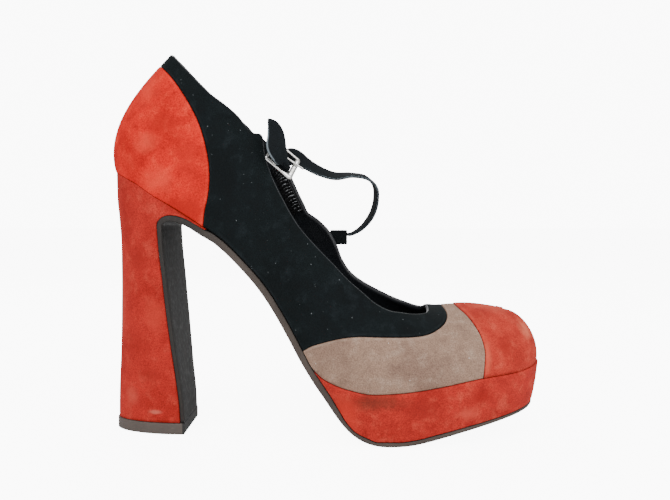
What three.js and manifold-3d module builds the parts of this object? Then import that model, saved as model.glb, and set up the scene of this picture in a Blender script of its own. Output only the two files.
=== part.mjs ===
// A right shoe: a closed, round-toed platform pump in suede, with a high block heel and a
// buckled strap over the instep. Millimetres. +X runs to the toe, +Y to the inner side of the
// foot and +Z up from the floor. The origin is the middle of the heel's ground face.
import * as THREE from "three";
import { mergeVertices } from "three/addons/utils/BufferGeometryUtils.js";
import Module from "manifold-3d";

const wasm = await Module();
wasm.setup();

// Driving dimensions
const shoeLength = 218.5; // back of the upper to the toe tip, along the floor
const heelSetback = 18; // back of the upper behind the middle of the heel's foot
const heelTuck = 0.8; // how far the seat's edge tucks in under the back curve
const ballHalfWidth = 42; // outer side, at the ball
const seatHeight = 132.5; // the upper's lower edge at the back
const ballHeight = 25; // the upper's lower edge at the ball
const toeSpring = 10; // the upper's lower edge at the toe tip, above the ball
const quarterHeight = 76; // the collar's peak above the upper's lower edge
const upperWall = 2.2;
const panelStep = 1.1; // depth of the step in the wall that takes a panel
const panelThickness = 0.7;
const panelInset = 0.1; // a panel's face below the quarters' face
const clearance = 0.3;
const stepLap = 0.05; // neighbouring steps run into each other by this much
const seamGap = 0.3; // between a panel and its neighbour
const insoleThickness = 2;
const shankThickness = 3.4;
const treadThickness = 2.2; // the sole under the platform
const breastThickness = 2;
const platformEdge = 0.8; // the platform's thin rear edge
const platformProud = 0.7; // its upper edge outside the upper
const toeInset = 2.6; // the sole's edge inside the upper's plan, at the toe
const heelHalfWidth = 26;
const heelRound = 36; // how far forward the heel's round back runs
const heelWaist = 3; // how far its back is drawn in at the waist
const breastX = 8.5; // the top of the heel's front face
const breastFlare = 9.3; // the front face's foot ahead of its top
const archDepth = 12.5; // the top of the breast below the seat
const coverInset = 0.4; // the sole's edge inside the heel's side
const topPieceHeight = 5.5;
const topPieceProud = 0.6;
const strapWidth = 8.6;
const strapThickness = 1.6;
const strapBow = 29.3; // how far the loose strap bows forward
const loopLength = 9.4;
const loopHeight = 8;
const loopWall = 1.3;
const buckleBar = 1.5;
const buckleLength = 16.6;
const barAhead = 3; // the rear bar ahead of the quarter's front edge
const barOutside = 1.4; // and outside the foot's surface
const barAbove = 0.845; // and up, as a share of the quarters' height
const prongWidth = 1.4;
const prongReach = 2.6; // the prong's length past the buckle's own
const elasticWidth = 7;
const elasticThickness = 1.2;
const earWidth = 3;
const tabThickness = 0.8;
const tabReach = 7; // the tab's sheet behind the buckle's rear bar

// Fineness of the surfaces
const stations = 38; // along each side of the upper
const rises = 10; // from the lower edge to the ridge
const heelLevels = 14;
const heelArc = 12;

const backX = -heelSetback;
const seatBackX = backX + heelTuck;
const tipX = backX + shoeLength - 0.2;

// Tables

// Rows of numbers under named columns
function table(columns, rows) {
  return rows.map((row) => Object.fromEntries(columns.map((name, i) => [name, row[i]])));
}

// A smooth curve through a table's rows that never overshoots them
function graph(rows, from, to) {
  const xs = rows.map((row) => row[from]);
  const ys = rows.map((row) => row[to]);
  const slopes = xs.slice(1).map((x, i) => (ys[i + 1] - ys[i]) / (x - xs[i]));
  const tangents = xs.map((x, i) => {
    const before = slopes[Math.max(i - 1, 0)];
    const after = slopes[Math.min(i, slopes.length - 1)];
    return before * after <= 0 ? 0 : 2 / (1 / before + 1 / after);
  });
  return (x) => {
    const at = THREE.MathUtils.clamp(x, xs[0], xs[xs.length - 1]);
    const next = Math.max(xs.findIndex((value) => value >= at), 1);
    const i = next - 1;
    const span = xs[next] - xs[i];
    const t = (at - xs[i]) / span;
    const rise = ys[next] - ys[i];
    const a = span * tangents[i] - rise;
    const b = rise - span * tangents[next];
    return ys[i] + t * rise + t * (1 - t) * (a * (1 - t) + b * t);
  };
}

// The upper's lower edge, seen from the side: along the shoe, and up as shares of the heel's
// rise above the ball and of the toe spring
const featherTable = table(
  ["along", "rise", "spring"],
  [
    [0.0, 1.0, 0],
    [0.07, 0.93, 0],
    [0.11, 0.876, 0],
    [0.155, 0.823, 0],
    [0.2, 0.766, 0],
    [0.24, 0.712, 0],
    [0.27, 0.666, 0],
    [0.314, 0.578, 0],
    [0.363, 0.464, 0],
    [0.4, 0.348, 0],
    [0.431, 0.236, 0],
    [0.45, 0.165, 0],
    [0.466, 0.106, 0],
    [0.491, 0.059, 0],
    [0.514, 0.037, 0],
    [0.543, 0.018, 0],
    [0.6, 0.0, 0],
    [0.656, 0.0, 0.06],
    [0.708, 0.0, 0.2],
    [0.761, 0.0, 0.38],
    [0.805, 0.0, 0.54],
    [0.845, 0.0, 0.66],
    [0.924, 0.0, 0.78],
    [1.0, 0.0, 1.0],
  ],
);
const featherRise = graph(featherTable, "along", "rise");
const featherSpring = graph(featherTable, "along", "spring");
const alongOf = (x) => (x - backX) / shoeLength;
const xAt = (along) => backX + along * shoeLength;

function featherZ(x) {
  const along = alongOf(x);
  return ballHeight + featherRise(along) * (seatHeight - ballHeight) + featherSpring(along) * toeSpring;
}

// Plan of the lower edge in shares of the ball's half width, with each section's own form:
// where along the shoe it closes on the ridge, how full it is and how far its side swells
const planTable = table(
  ["along", "lateral", "medial", "ridge", "full", "swell"],
  [
    [0.0037, 0.0, 0.0, 0.275, 1.4, 0.18],
    [0.009, 0.18, 0.18, 0.275, 1.42, 0.17],
    [0.027, 0.335, 0.335, 0.276, 1.5, 0.14],
    [0.06, 0.475, 0.47, 0.28, 1.75, 0.1],
    [0.105, 0.58, 0.57, 0.29, 2.2, 0.06],
    [0.151, 0.62, 0.607, 0.3, 2.6, 0.05],
    [0.224, 0.64, 0.62, 0.32, 3.0, 0.04],
    [0.311, 0.655, 0.62, 0.357, 2.9, 0.03],
    [0.403, 0.715, 0.655, 0.42, 2.5, 0.03],
    [0.467, 0.81, 0.715, 0.476, 2.35, 0.03],
    [0.54, 0.93, 0.8, 0.545, 2.1, 0.03],
    [0.609, 0.995, 0.88, 0.609, 1.95, 0.03],
    [0.677, 1.0, 0.905, 0.677, 1.95, 0.03],
    [0.746, 0.965, 0.88, 0.745, 2.0, 0.03],
    [0.815, 0.88, 0.82, 0.8, 2.1, 0.04],
    [0.883, 0.74, 0.715, 0.85, 2.1, 0.04],
    [0.929, 0.595, 0.607, 0.878, 2.1, 0.04],
    [0.966, 0.395, 0.465, 0.897, 2.08, 0.04],
    [0.989, 0.165, 0.275, 0.91, 2.05, 0.04],
    [0.9991, -0.095, 0.095, 0.915, 2.05, 0.04],
  ],
);

// The ridge on which both sides of the last meet: its height above the lower edge as a share of
// the quarters' height, and its shift to the inner side as a share of the ball's half width
const ridgeTable = table(
  ["along", "above", "shift"],
  [
    [0.275, 1.546, 0.0],
    [0.311, 1.52, 0.02],
    [0.357, 1.33, 0.06],
    [0.403, 1.234, 0.1],
    [0.449, 1.207, 0.13],
    [0.494, 1.155, 0.14],
    [0.54, 1.022, 0.14],
    [0.586, 0.879, 0.14],
    [0.632, 0.727, 0.14],
    [0.677, 0.6, 0.14],
    [0.728, 0.475, 0.13],
    [0.76, 0.446, 0.12],
    [0.803, 0.437, 0.11],
    [0.885, 0.397, 0.1],
    [0.915, 0.368, 0.095],
  ],
);
const ridgeAbove = graph(ridgeTable, "along", "above");
const ridgeShift = graph(ridgeTable, "along", "shift");

// Turn is 0 at the back and 1 at the toe tip, and crowds the stations at both round ends
const turnOf = (x) => Math.acos(THREE.MathUtils.clamp(1 - (2 * (x - seatBackX)) / (tipX - seatBackX), -1, 1)) / Math.PI;
const xOfTurn = (turn) => seatBackX + ((tipX - seatBackX) * (1 - Math.cos(Math.PI * turn))) / 2;
const planByTurn = planTable.map((row) => ({ ...row, turn: turnOf(xAt(row.along)) }));
const plan = Object.fromEntries(
  ["lateral", "medial", "ridge", "full", "swell"].map((name) => [name, graph(planByTurn, "turn", name)]),
);

// The last's surface. Side is -1 for the outer side and 1 for the inner, and climb runs from 0
// at the lower edge to 1 on the ridge.
function lastPoint(side, turn, climb) {
  const footX = xOfTurn(turn);
  const footY = (side < 0 ? -plan.lateral(turn) : plan.medial(turn)) * ballHalfWidth;
  const ridgeAlong = plan.ridge(turn);
  const ridgeX = xAt(ridgeAlong);
  const ridgeY = ridgeShift(ridgeAlong) * ballHalfWidth;
  const footZ = featherZ(footX);
  const ridgeZ = featherZ(ridgeX) + ridgeAbove(ridgeAlong) * quarterHeight;
  const full = plan.full(turn);
  const angle = (climb * Math.PI) / 2;
  const up = Math.sin(angle) ** (2 / full);
  const out = Math.cos(angle) ** (2 / full) + plan.swell(turn) * Math.sin(Math.PI * up) * (1 - up);
  return new THREE.Vector3(
    ridgeX + (footX - ridgeX) * out,
    ridgeY + (footY - ridgeY) * out,
    footZ + (ridgeZ - footZ) * up,
  );
}

// The same surface moved along its own normal, outwards for a positive offset
function skinPoint(side, turn, climb, offset) {
  const step = 0.004;
  const low = Math.max(climb - step, 0.002);
  const high = Math.min(climb + step, 0.998);
  const back = Math.max(turn - step, 0);
  const front = Math.min(turn + step, 1);
  const point = lastPoint(side, turn, climb);
  const alongSkin = lastPoint(side, front, (low + high) / 2).sub(lastPoint(side, back, (low + high) / 2));
  const upSkin = lastPoint(side, turn, high).sub(lastPoint(side, turn, low));
  const normal = alongSkin.cross(upSkin).multiplyScalar(-side).normalize();
  if (climb === 1) normal.y = 0;
  if (turn === 0 || turn === 1) normal.y = 0;
  return point.addScaledVector(normal.normalize(), offset);
}

// Solids

function solidFromTriangles(corners) {
  const geometry = new THREE.BufferGeometry();
  geometry.setAttribute("position", new THREE.Float32BufferAttribute(corners, 3));
  return solidFromGeometry(geometry);
}

function solidFromGeometry(geometry) {
  const bare = geometry.index ? geometry.toNonIndexed() : geometry.clone();
  bare.deleteAttribute("normal");
  bare.deleteAttribute("uv");
  const merged = mergeVertices(bare, 1e-4);
  const triVerts = new Uint32Array(merged.index.array).filter((corner, i, all) => {
    const first = i - (i % 3);
    return all[first] !== all[first + 1] && all[first + 1] !== all[first + 2] && all[first] !== all[first + 2];
  });
  return new wasm.Manifold(
    new wasm.Mesh({ numProp: 3, vertProperties: merged.attributes.position.array, triVerts }),
  );
}

// Adds the two triangles between four corners, counter-clockwise from outside
function addQuad(corners, a, b, c, d) {
  for (const point of [a, b, c, a, c, d]) corners.push(point.x, point.y, point.z);
}

// A closed solid through rings of points that all run the same way round
function loft(rings) {
  const corners = [];
  rings.slice(1).forEach((ring, i) => {
    const before = rings[i];
    ring.forEach((point, j) => {
      const next = (j + 1) % ring.length;
      addQuad(corners, before[j], before[next], ring[next], point);
    });
  });
  for (const [ring, flip] of [[rings[0], true], [rings[rings.length - 1], false]]) {
    const outline = ring.map((point) => new THREE.Vector3().copy(point));
    for (let j = 1; j < outline.length - 1; j += 1) {
      const [b, c] = flip ? [outline[j + 1], outline[j]] : [outline[j], outline[j + 1]];
      for (const point of [outline[0], b, c]) corners.push(point.x, point.y, point.z);
    }
  }
  const made = solidFromTriangles(corners);
  return made.volume() < 0 ? solidFromTriangles(reversed(corners)) : made;
}

function reversed(corners) {
  const turned = [];
  for (let i = 0; i < corners.length; i += 9) {
    turned.push(...corners.slice(i, i + 3), ...corners.slice(i + 6, i + 9), ...corners.slice(i + 3, i + 6));
  }
  return turned;
}

// A side-view outline of [x, z] points, extruded across the shoe from y = low to y = high
function prism(outline, low, high) {
  const shape = new THREE.Shape(outline.map(([x, z]) => new THREE.Vector2(x, z)));
  const geometry = new THREE.ExtrudeGeometry(shape, { depth: high - low, bevelEnabled: false });
  geometry.rotateX(Math.PI / 2);
  geometry.translate(0, high, 0);
  return solidFromGeometry(geometry);
}

// Points of a smooth curve through side-view points
function smooth(points, perSpan = 3) {
  const curve = new THREE.CatmullRomCurve3(
    points.map(([x, z]) => new THREE.Vector3(x, z, 0)),
    false,
    "centripetal",
  );
  return curve.getPoints((points.length - 1) * perSpan).map((point) => [point.x, point.y]);
}

// Side-view points on the upper, from shares along the shoe and of the quarters' height above
// the lower edge
function onUpper(rows) {
  return rows.map((row) => [xAt(row.along), featherZ(xAt(row.along)) + row.above * quarterHeight]);
}

const shifted = (points, dx, dz) => points.map(([x, z]) => [x + dx, z + dz]);

// The last's form moved out by an offset and closed underneath, its lower edge dropped by drop
function form(offset, drop) {
  const corners = [];
  const row = (side, i) => {
    const turn = i / stations;
    const column = [];
    for (let j = 0; j <= rises; j += 1) {
      const shared = i === 0 || i === stations || j === rises;
      column.push(skinPoint(shared ? -1 : side, turn, j / rises, offset));
    }
    if (drop > 0) column.unshift(column[0].clone().setZ(column[0].z - drop));
    return column;
  };
  for (let i = 0; i < stations; i += 1) {
    const [outerA, outerB] = [row(-1, i), row(-1, i + 1)];
    const [innerA, innerB] = [row(1, i), row(1, i + 1)];
    for (let j = 0; j < outerA.length - 1; j += 1) {
      addQuad(corners, outerA[j], outerB[j], outerB[j + 1], outerA[j + 1]);
      addQuad(corners, innerA[j], innerA[j + 1], innerB[j + 1], innerB[j]);
    }
    addQuad(corners, outerA[0], innerA[0], innerB[0], outerB[0]);
  }
  return solidFromTriangles(corners);
}

// Outlines on the upper, seen from the side

const across = ballHalfWidth * 2; // a prism this far out on both sides passes all of the shoe
const splitY = 3; // where the two sides' cuts meet

const collarLine = table(
  ["along", "above"],
  [
    [0.135, 0.991],
    [0.19, 0.925],
    [0.239, 0.872],
    [0.268, 0.859],
    [0.303, 0.875],
  ],
);
const lateralCorner = table(
  ["along", "above"],
  [
    [0.323, 0.888],
    [0.339, 0.905],
    [0.352, 0.935],
    [0.3565, 0.91],
    [0.361, 0.825],
    [0.38, 0.748],
    [0.4, 0.725],
    [0.419, 0.72],
    [0.44, 0.74],
    [0.485, 0.785],
    [0.512, 0.749],
    [0.544, 0.681],
    [0.575, 0.622],
    [0.608, 0.549],
    [0.64, 0.498],
    [0.67, 0.474],
    [0.698, 0.449],
    [0.719, 0.437],
    [0.733, 0.438],
    [0.742, 0.48],
  ],
);
const medialCorner = table(
  ["along", "above"],
  [
    [0.33, 0.875],
    [0.357, 0.9],
    [0.389, 0.945],
    [0.402, 0.96],
    [0.411, 0.939],
    [0.425, 0.919],
    [0.439, 0.91],
    [0.45, 0.905],
    [0.46, 0.94],
    [0.475, 0.966],
    [0.491, 0.962],
    [0.503, 0.941],
    [0.522, 0.86],
    [0.533, 0.78],
    [0.553, 0.7],
    [0.583, 0.645],
    [0.638, 0.568],
    [0.684, 0.531],
    [0.712, 0.507],
    [0.73, 0.467],
    [0.742, 0.48],
  ],
);

// Everything above one side's topline
function aboveTopline(corner) {
  const line = smooth(onUpper([...collarLine, ...corner]));
  const [peakX, peakZ] = line[0];
  const [frontX] = line[line.length - 1];
  const high = peakZ + quarterHeight;
  return [...line, [frontX, high], [peakX - shoeLength, high], [peakX - shoeLength, peakZ]];
}

const toplineCut = prism(aboveTopline(lateralCorner), -across, splitY).add(
  prism(aboveTopline(medialCorner), splitY, across),
);

// The black quarters' lower edge over the vamp, from the sole to the middle of the vamp
const quarterEdge = table(
  ["along", "above"],
  [
    [0.435, -0.1],
    [0.447, 0.02],
    [0.46, 0.1],
    [0.495, 0.237],
    [0.533, 0.309],
    [0.572, 0.345],
    [0.611, 0.349],
    [0.691, 0.326],
    [0.724, 0.322],
    [0.751, 0.341],
    [0.768, 0.37],
    [0.775, 0.405],
    [0.773, 0.445],
    [0.764, 0.52],
  ],
);
// The toe cap's seam, from the middle of the vamp to the sole
const capSeam = table(
  ["along", "above"],
  [
    [0.79, 0.52],
    [0.802, 0.432],
    [0.816, 0.385],
    [0.83, 0.321],
    [0.841, 0.248],
    [0.846, 0.164],
    [0.844, 0.081],
    [0.838, -0.1],
  ],
);
// The heel counter's front edge, from the back curve to the seat
const counterEdge = table(
  ["along", "above"],
  [
    [0.085, 0.9],
    [0.107, 0.874],
    [0.148, 0.831],
    [0.19, 0.737],
    [0.218, 0.628],
    [0.235, 0.481],
    [0.24, 0.345],
    [0.236, 0.207],
    [0.229, 0.108],
    [0.224, -0.1],
  ],
);

const beyond = shoeLength;

// Each panel's outline, its edges set back from the drawn lines by half the seam
function vampOutline(gap) {
  const edge = shifted(smooth(onUpper(quarterEdge)), gap, -gap);
  const seam = shifted(smooth(onUpper(capSeam)), -gap, 0);
  return [...edge, ...seam, [seam[seam.length - 1][0], 0], [edge[0][0], 0]];
}

function capOutline(gap) {
  const seam = shifted(smooth(onUpper(capSeam)), gap, 0);
  const low = seam[seam.length - 1];
  return [...seam, [beyond, low[1]], [beyond, seam[0][1]]];
}

function counterOutline(gap) {
  const edge = shifted(smooth(onUpper(counterEdge)), -gap, -gap);
  const low = edge[edge.length - 1];
  return [...edge, [-beyond, low[1]], [-beyond, edge[0][1]]];
}

// The upper

const outerForm = form(0, 0);
const innerForm = form(-upperWall, upperWall * 3);
const stepDepth = form(panelStep, upperWall * 3).subtract(form(-panelStep, upperWall * 4));
const panelSheet = form(-panelInset, 0).subtract(form(-panelInset - panelThickness, upperWall * 3));
const panels = {
  vamp_panel: vampOutline,
  toe_cap: capOutline,
  heel_counter: counterOutline,
};

const panelPrisms = Object.values(panels).map((outline) => prism(outline(-stepLap), -across, across));
const upper = outerForm
  .subtract(innerForm)
  .subtract(toplineCut)
  .subtract(stepDepth.intersect(wasm.Manifold.union(panelPrisms)));

// The insole, platform and sole

// Outline points at one station, moved out from the plan by a distance
function planPair(turn, offset) {
  return [skinPoint(-1, turn, 0, offset), skinPoint(1, turn, 0, offset)];
}

const allTurns = Array.from({ length: stations + 1 }, (unused, i) => i / stations);
// The sole's own table. Low is its lower face under the platform as a share of the ball's
// height, flat on the floor at the ball. Thick is a share of the tread's thickness, and inset
// is how far its edge lies inside the plan, as a share of the toe's inset.
const soleTable = table(
  ["along", "low", "thick", "inset"],
  [
    [0.2, 4.0, 1.55, 0.25],
    [0.4, 2.0, 1.55, 0.35],
    [0.466, 1.2, 1.5, 0.3],
    [0.499, 0.8, 1.4, 0.2],
    [0.522, 0.505, 1.3, 0.15],
    [0.537, 0.33, 1.2, 0.12],
    [0.556, 0.18, 1.1, 0.12],
    [0.58, 0.085, 1.0, 0.12],
    [0.609, 0.0, 1.0, 0.12],
    [0.655, 0.0, 1.0, 0.12],
    [0.69, 0.036, 1.0, 0.13],
    [0.74, 0.13, 0.98, 0.25],
    [0.8, 0.237, 0.88, 0.6],
    [0.86, 0.335, 0.75, 0.9],
    [0.93, 0.448, 0.65, 1.0],
    [1.0, 0.55, 0.6, 1.0],
  ],
);
const soleShare = Object.fromEntries(
  ["low", "thick", "inset"].map((name) => [name, graph(soleTable, "along", name)]),
);
const platformBackX = xAt(0.466); // where the platform's thin rear edge meets the shank

// A face's length on the slope for each millimetre along x
function stretch(height, x) {
  return Math.hypot(1, height(x + 0.5) - height(x - 0.5));
}

const seatZ = (x) => featherZ(x) - clearance * stretch(featherZ, x);
const treadZ = (x) => soleShare.low(alongOf(x)) * ballHeight;
const soleThickness = (x) =>
  x < platformBackX ? shankThickness : soleShare.thick(alongOf(x)) * treadThickness;

function soleTopZ(x) {
  return x < platformBackX ? seatZ(x) : treadZ(x) + soleThickness(x) * stretch(treadZ, x);
}

function soleLowZ(x) {
  return x < platformBackX ? seatZ(x) - soleThickness(x) * stretch(featherZ, x) : treadZ(x);
}

const soleInset = (turn) => -soleShare.inset(alongOf(xOfTurn(turn))) * toeInset;
const platformLowZ = (x) => soleTopZ(x) + clearance * stretch(soleTopZ, x);

// Rings for a sheet that lies under the foot, between two heights over x
function sheetRings(turns, upperOffset, lowerOffset, topZ, bottomZ) {
  return turns.map((turn) => {
    const [lateralTop, medialTop] = planPair(turn, upperOffset(turn));
    const [lateralLow, medialLow] = planPair(turn, lowerOffset(turn));
    for (const point of [lateralTop, medialTop]) point.z = topZ(point.x);
    for (const point of [lateralLow, medialLow]) point.z = bottomZ(point.x);
    return [lateralTop, lateralLow, medialLow, medialTop];
  });
}

const insideWall = () => -upperWall - clearance;
const insole = loft(
  sheetRings(allTurns, insideWall, insideWall, (x) => featherZ(x) + insoleThickness, featherZ),
);

const platformTipX = platformBackX + 2 * platformEdge;
const platformTurns = [turnOf(platformTipX), ...allTurns.filter((turn) => xOfTurn(turn) > platformTipX + 1)];
const platform = loft(
  sheetRings(platformTurns, () => platformProud, (turn) => soleInset(turn) + clearance, seatZ, platformLowZ),
);

// The heel

// Its plan's half width, how full that plan is and how far its back is drawn in at the waist,
// up the heel from the floor to the seat
const heelTable = table(
  ["up", "width", "full", "waist"],
  [
    [0.0, 0.72, 1.9, 0.2],
    [0.045, 0.725, 1.9, 0.2],
    [0.136, 0.75, 1.92, 0.27],
    [0.242, 0.79, 1.95, 0.5],
    [0.3, 0.845, 1.97, 0.65],
    [0.453, 0.935, 2.02, 0.88],
    [0.6, 0.98, 2.07, 1.0],
    [0.71, 1.0, 2.1, 1.0],
    [0.815, 1.0, 2.13, 0.73],
    [0.89, 1.0, 2.15, 0.43],
    [1.0, 1.0, 2.15, 0.33],
  ],
);
const heelShare = Object.fromEntries(
  ["width", "full", "waist"].map((name) => [name, graph(heelTable, "up", name)]),
);
const heelWidthAt = (z) => heelShare.width(z / seatHeight) * heelHalfWidth;

// The breast line, the heel's front face down to the floor: height as a share of the breast's
// own and forward as a share of its flare
const breastTable = table(
  ["up", "forward"],
  [
    [1.0, 0.0],
    [0.95, 0.01],
    [0.857, 0.09],
    [0.743, 0.23],
    [0.62, 0.36],
    [0.486, 0.52],
    [0.37, 0.66],
    [0.257, 0.8],
    [0.133, 0.95],
    [0.0, 1.0],
  ],
);
// The arch over which the sole turns down the breast: how far it lies below the seat
const archTable = table(
  ["along", "below"],
  [
    [0.2275, 0.1],
    [0.19, 0.13],
    [0.161, 0.28],
    [0.142, 0.48],
    [0.129, 0.72],
  ],
);
const breastHeight = featherZ(breastX) - archDepth;
const archLine = archTable.map((row) => [xAt(row.along), featherZ(xAt(row.along)) - row.below * archDepth]);
const breastLine = breastTable.map((row) => [breastX + row.forward * breastFlare, row.up * breastHeight]);
const breastFootX = breastX + breastFlare;

// A D-shaped plan at one height, its round side to the back and its flat side at frontX
function heelRing(z, proud, frontX) {
  const power = 2 / heelShare.full(z / seatHeight);
  const half = heelWidthAt(z) + proud;
  const rearX = backX + heelShare.waist(z / seatHeight) * heelWaist - proud;
  const ring = [new THREE.Vector3(frontX, -half, z)];
  for (let i = 0; i <= heelArc; i += 1) {
    const angle = (Math.PI * i) / heelArc;
    const sideways = Math.sign(Math.cos(angle)) * Math.abs(Math.cos(angle)) ** power;
    const x = Math.min(rearX + heelRound * (1 - Math.sin(angle) ** power), frontX);
    ring.push(new THREE.Vector3(x, -half * sideways, z));
  }
  ring.push(new THREE.Vector3(frontX, half, z));
  return ring;
}

const heelFootZ = topPieceHeight + clearance;
const heelLimitX = xAt(0.27);
const heelBlock = loft(
  Array.from({ length: heelLevels + 1 }, (unused, i) =>
    heelRing(heelFootZ + ((seatHeight - heelFootZ) * i) / heelLevels, 0, heelLimitX),
  ),
);

// Points beside a side-view line, moved to its right as it is walked
function beside(line, distance) {
  return line.map(([x, z], i) => {
    const [beforeX, beforeZ] = line[Math.max(i - 1, 0)];
    const [afterX, afterZ] = line[Math.min(i + 1, line.length - 1)];
    const length = Math.hypot(afterX - beforeX, afterZ - beforeZ);
    return [x + ((afterZ - beforeZ) / length) * distance, z - ((afterX - beforeX) / length) * distance];
  });
}

const coverLine = [...smooth(archLine, 2), ...breastLine];
const coverBehind = beside(coverLine, clearance).filter(([, z]) => z > heelFootZ);
const seatLine = allTurns.map(xOfTurn).filter((x) => x < xAt(0.226)).map((x) => [x, seatZ(x)]);
const heelOutline = [
  [backX - heelRound, heelFootZ],
  [breastFootX - clearance, heelFootZ],
  ...coverBehind.reverse(),
  ...seatLine.reverse(),
  [backX - heelRound, seatLine[seatLine.length - 1][1]],
];
const heel = heelBlock.intersect(prism(heelOutline, -across, across));

const topPiece = loft([
  heelRing(0, topPieceProud, breastFootX + breastThickness),
  heelRing(topPieceHeight, topPieceProud, breastFootX + breastThickness),
]);

// The sole is one bent sheet: under the platform, up the shank, over the arch and down the
// heel's breast, ending on the top piece
const soleTurns = allTurns.filter((turn) => xOfTurn(turn) > xAt(0.245)).reverse();
const soleRings = sheetRings(soleTurns, soleInset, soleInset, soleTopZ, soleLowZ);
const coverBack = coverLine.filter(([, z]) => z > heelFootZ + breastThickness);
const coverFoot = [breastFootX, heelFootZ];
const coverRear = [...coverBack, coverFoot];
const coverFront = beside(coverRear, -1).map(([x, z], i) => {
  const [rearX, rearZ] = coverRear[i];
  const thickness = THREE.MathUtils.lerp(
    shankThickness,
    breastThickness,
    THREE.MathUtils.smoothstep(i, 0, archTable.length * 2),
  );
  return [rearX + (x - rearX) * thickness, rearZ + (z - rearZ) * thickness];
});
coverFront[coverFront.length - 1][1] = heelFootZ;
const coverRings = coverRear.map(([rearX, rearZ], i) => {
  const [frontX, frontZ] = coverFront[i];
  const half = heelWidthAt(rearZ) - coverInset;
  return [
    new THREE.Vector3(rearX, -half, rearZ),
    new THREE.Vector3(frontX, -half, frontZ),
    new THREE.Vector3(frontX, half, frontZ),
    new THREE.Vector3(rearX, half, rearZ),
  ];
});
const outsole = loft([...soleRings, ...coverRings]);

// The elastic strip, inside the inner side's throat edge
const elasticTable = table(
  ["along", "above"],
  [
    [0.384, 0.935],
    [0.402, 0.96],
    [0.411, 0.939],
    [0.425, 0.919],
    [0.439, 0.91],
    [0.445, 0.907],
  ],
);
const elasticEdge = smooth(onUpper(elasticTable), 2);
const elasticStrip = form(-upperWall - clearance, 0)
  .subtract(form(-upperWall - clearance - elasticThickness, upperWall))
  .intersect(
    prism(
      [...shifted(elasticEdge, -0.1 * elasticWidth, 0), ...beside(elasticEdge, elasticWidth).reverse()],
      splitY,
      across,
    ),
  );

// The strap's loop on the inner side

// The point of the skin that shows at a side-view place, on one side and at an offset
function onSkin(side, x, z, offset) {
  let turn = turnOf(x);
  let climb = 0.5;
  const nudge = 1e-3;
  for (let pass = 0; pass < 30; pass += 1) {
    const here = skinPoint(side, turn, climb, offset);
    const turned = skinPoint(side, turn + nudge, climb, offset).sub(here).divideScalar(nudge);
    const climbed = skinPoint(side, turn, climb + nudge, offset).sub(here).divideScalar(nudge);
    const [missX, missZ] = [x - here.x, z - here.z];
    const scale = turned.x * climbed.z - climbed.x * turned.z;
    turn += (missX * climbed.z - climbed.x * missZ) / scale;
    climb += (turned.x * missZ - missX * turned.z) / scale;
    turn = THREE.MathUtils.clamp(turn, 0.01, 0.99);
    climb = THREE.MathUtils.clamp(climb, 0.01, 0.97);
  }
  return skinPoint(side, turn, climb, offset);
}

const loopX = xAt(0.5265);
const loopZ = featherZ(loopX) + 0.938 * quarterHeight;
const loopSkin = onSkin(1, xAt(0.508), loopZ - loopHeight, clearance);
const loopY = loopSkin.y + clearance + strapWidth / 2 + loopWall;

// A rectangle's corners, counter-clockwise
function rectangle(width, height) {
  const [x, y] = [width / 2, height / 2];
  return [[-x, -y], [x, -y], [x, y], [-x, y]].map((corner) => new THREE.Vector2(...corner));
}

const loopShape = new THREE.Shape(rectangle(strapWidth + 2 * loopWall, loopHeight));
const slotDrop = loopHeight / 2 - loopWall - strapThickness / 2 - clearance;
loopShape.holes.push(
  new THREE.Path(
    rectangle(strapWidth + 2 * clearance, strapThickness + 2 * clearance).map((corner) =>
      corner.setY(corner.y + slotDrop),
    ),
  ),
);
const loopGeometry = new THREE.ExtrudeGeometry(loopShape, { depth: loopLength, bevelEnabled: false });
loopGeometry.rotateX(Math.PI / 2);
loopGeometry.rotateZ(Math.PI / 2);
loopGeometry.translate(loopX - loopLength / 2, loopY, loopZ - slotDrop);
const strapLoop = solidFromGeometry(loopGeometry);

// The buckle

// Its own directions: forward along the strap, up across it, and out from the foot
const buckleForward = new THREE.Vector3(0.72, 0.37, -0.585).normalize();
const buckleOut = buckleForward.clone().cross(new THREE.Vector3(0.36, 0.507, 0.783)).normalize();
const buckleUp = buckleOut.clone().cross(buckleForward);
const cornerX = xAt(0.3565);
const barHome = onSkin(-1, cornerX, featherZ(cornerX) + barAbove * quarterHeight, 0);
const buckleCentre = barHome
  .clone()
  .setX(cornerX + barAhead)
  .addScaledVector(buckleForward, (buckleLength - buckleBar) / 2)
  .addScaledVector(buckleOut, barOutside);

function atBuckle(forward, up, out) {
  return buckleCentre
    .clone()
    .addScaledVector(buckleForward, forward)
    .addScaledVector(buckleUp, up)
    .addScaledVector(buckleOut, out);
}

// Turns a shape drawn forward and up in the buckle's plane into a plate, out from that plane
function inBuckle(shape, thickness, out) {
  const geometry = new THREE.ExtrudeGeometry(shape, { depth: thickness, bevelEnabled: false });
  geometry.translate(0, 0, -thickness / 2);
  const axes = new THREE.Matrix4().makeBasis(buckleForward, buckleUp, buckleOut);
  geometry.applyMatrix4(axes.setPosition(atBuckle(0, 0, out)));
  return solidFromGeometry(geometry);
}

// A round piece along the buckle's rear bar, and a ring round that bar
const rearBar = -(buckleLength - buckleBar) / 2;
const barHole = buckleBar * Math.SQRT1_2 + clearance;
function barRod(radius, width, up) {
  const shape = new THREE.Shape().absarc(0, 0, radius, 0, Math.PI * 2);
  const geometry = new THREE.ExtrudeGeometry(shape, { depth: width, bevelEnabled: false, curveSegments: 8 });
  const axes = new THREE.Matrix4().makeBasis(buckleOut, buckleForward, buckleUp);
  geometry.applyMatrix4(axes.setPosition(atBuckle(rearBar, up - width / 2, 0)));
  return solidFromGeometry(geometry);
}

function barRing(wall, width, up) {
  return barRod(barHole + wall, width, up).subtract(barRod(barHole, width * 2, up));
}

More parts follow.
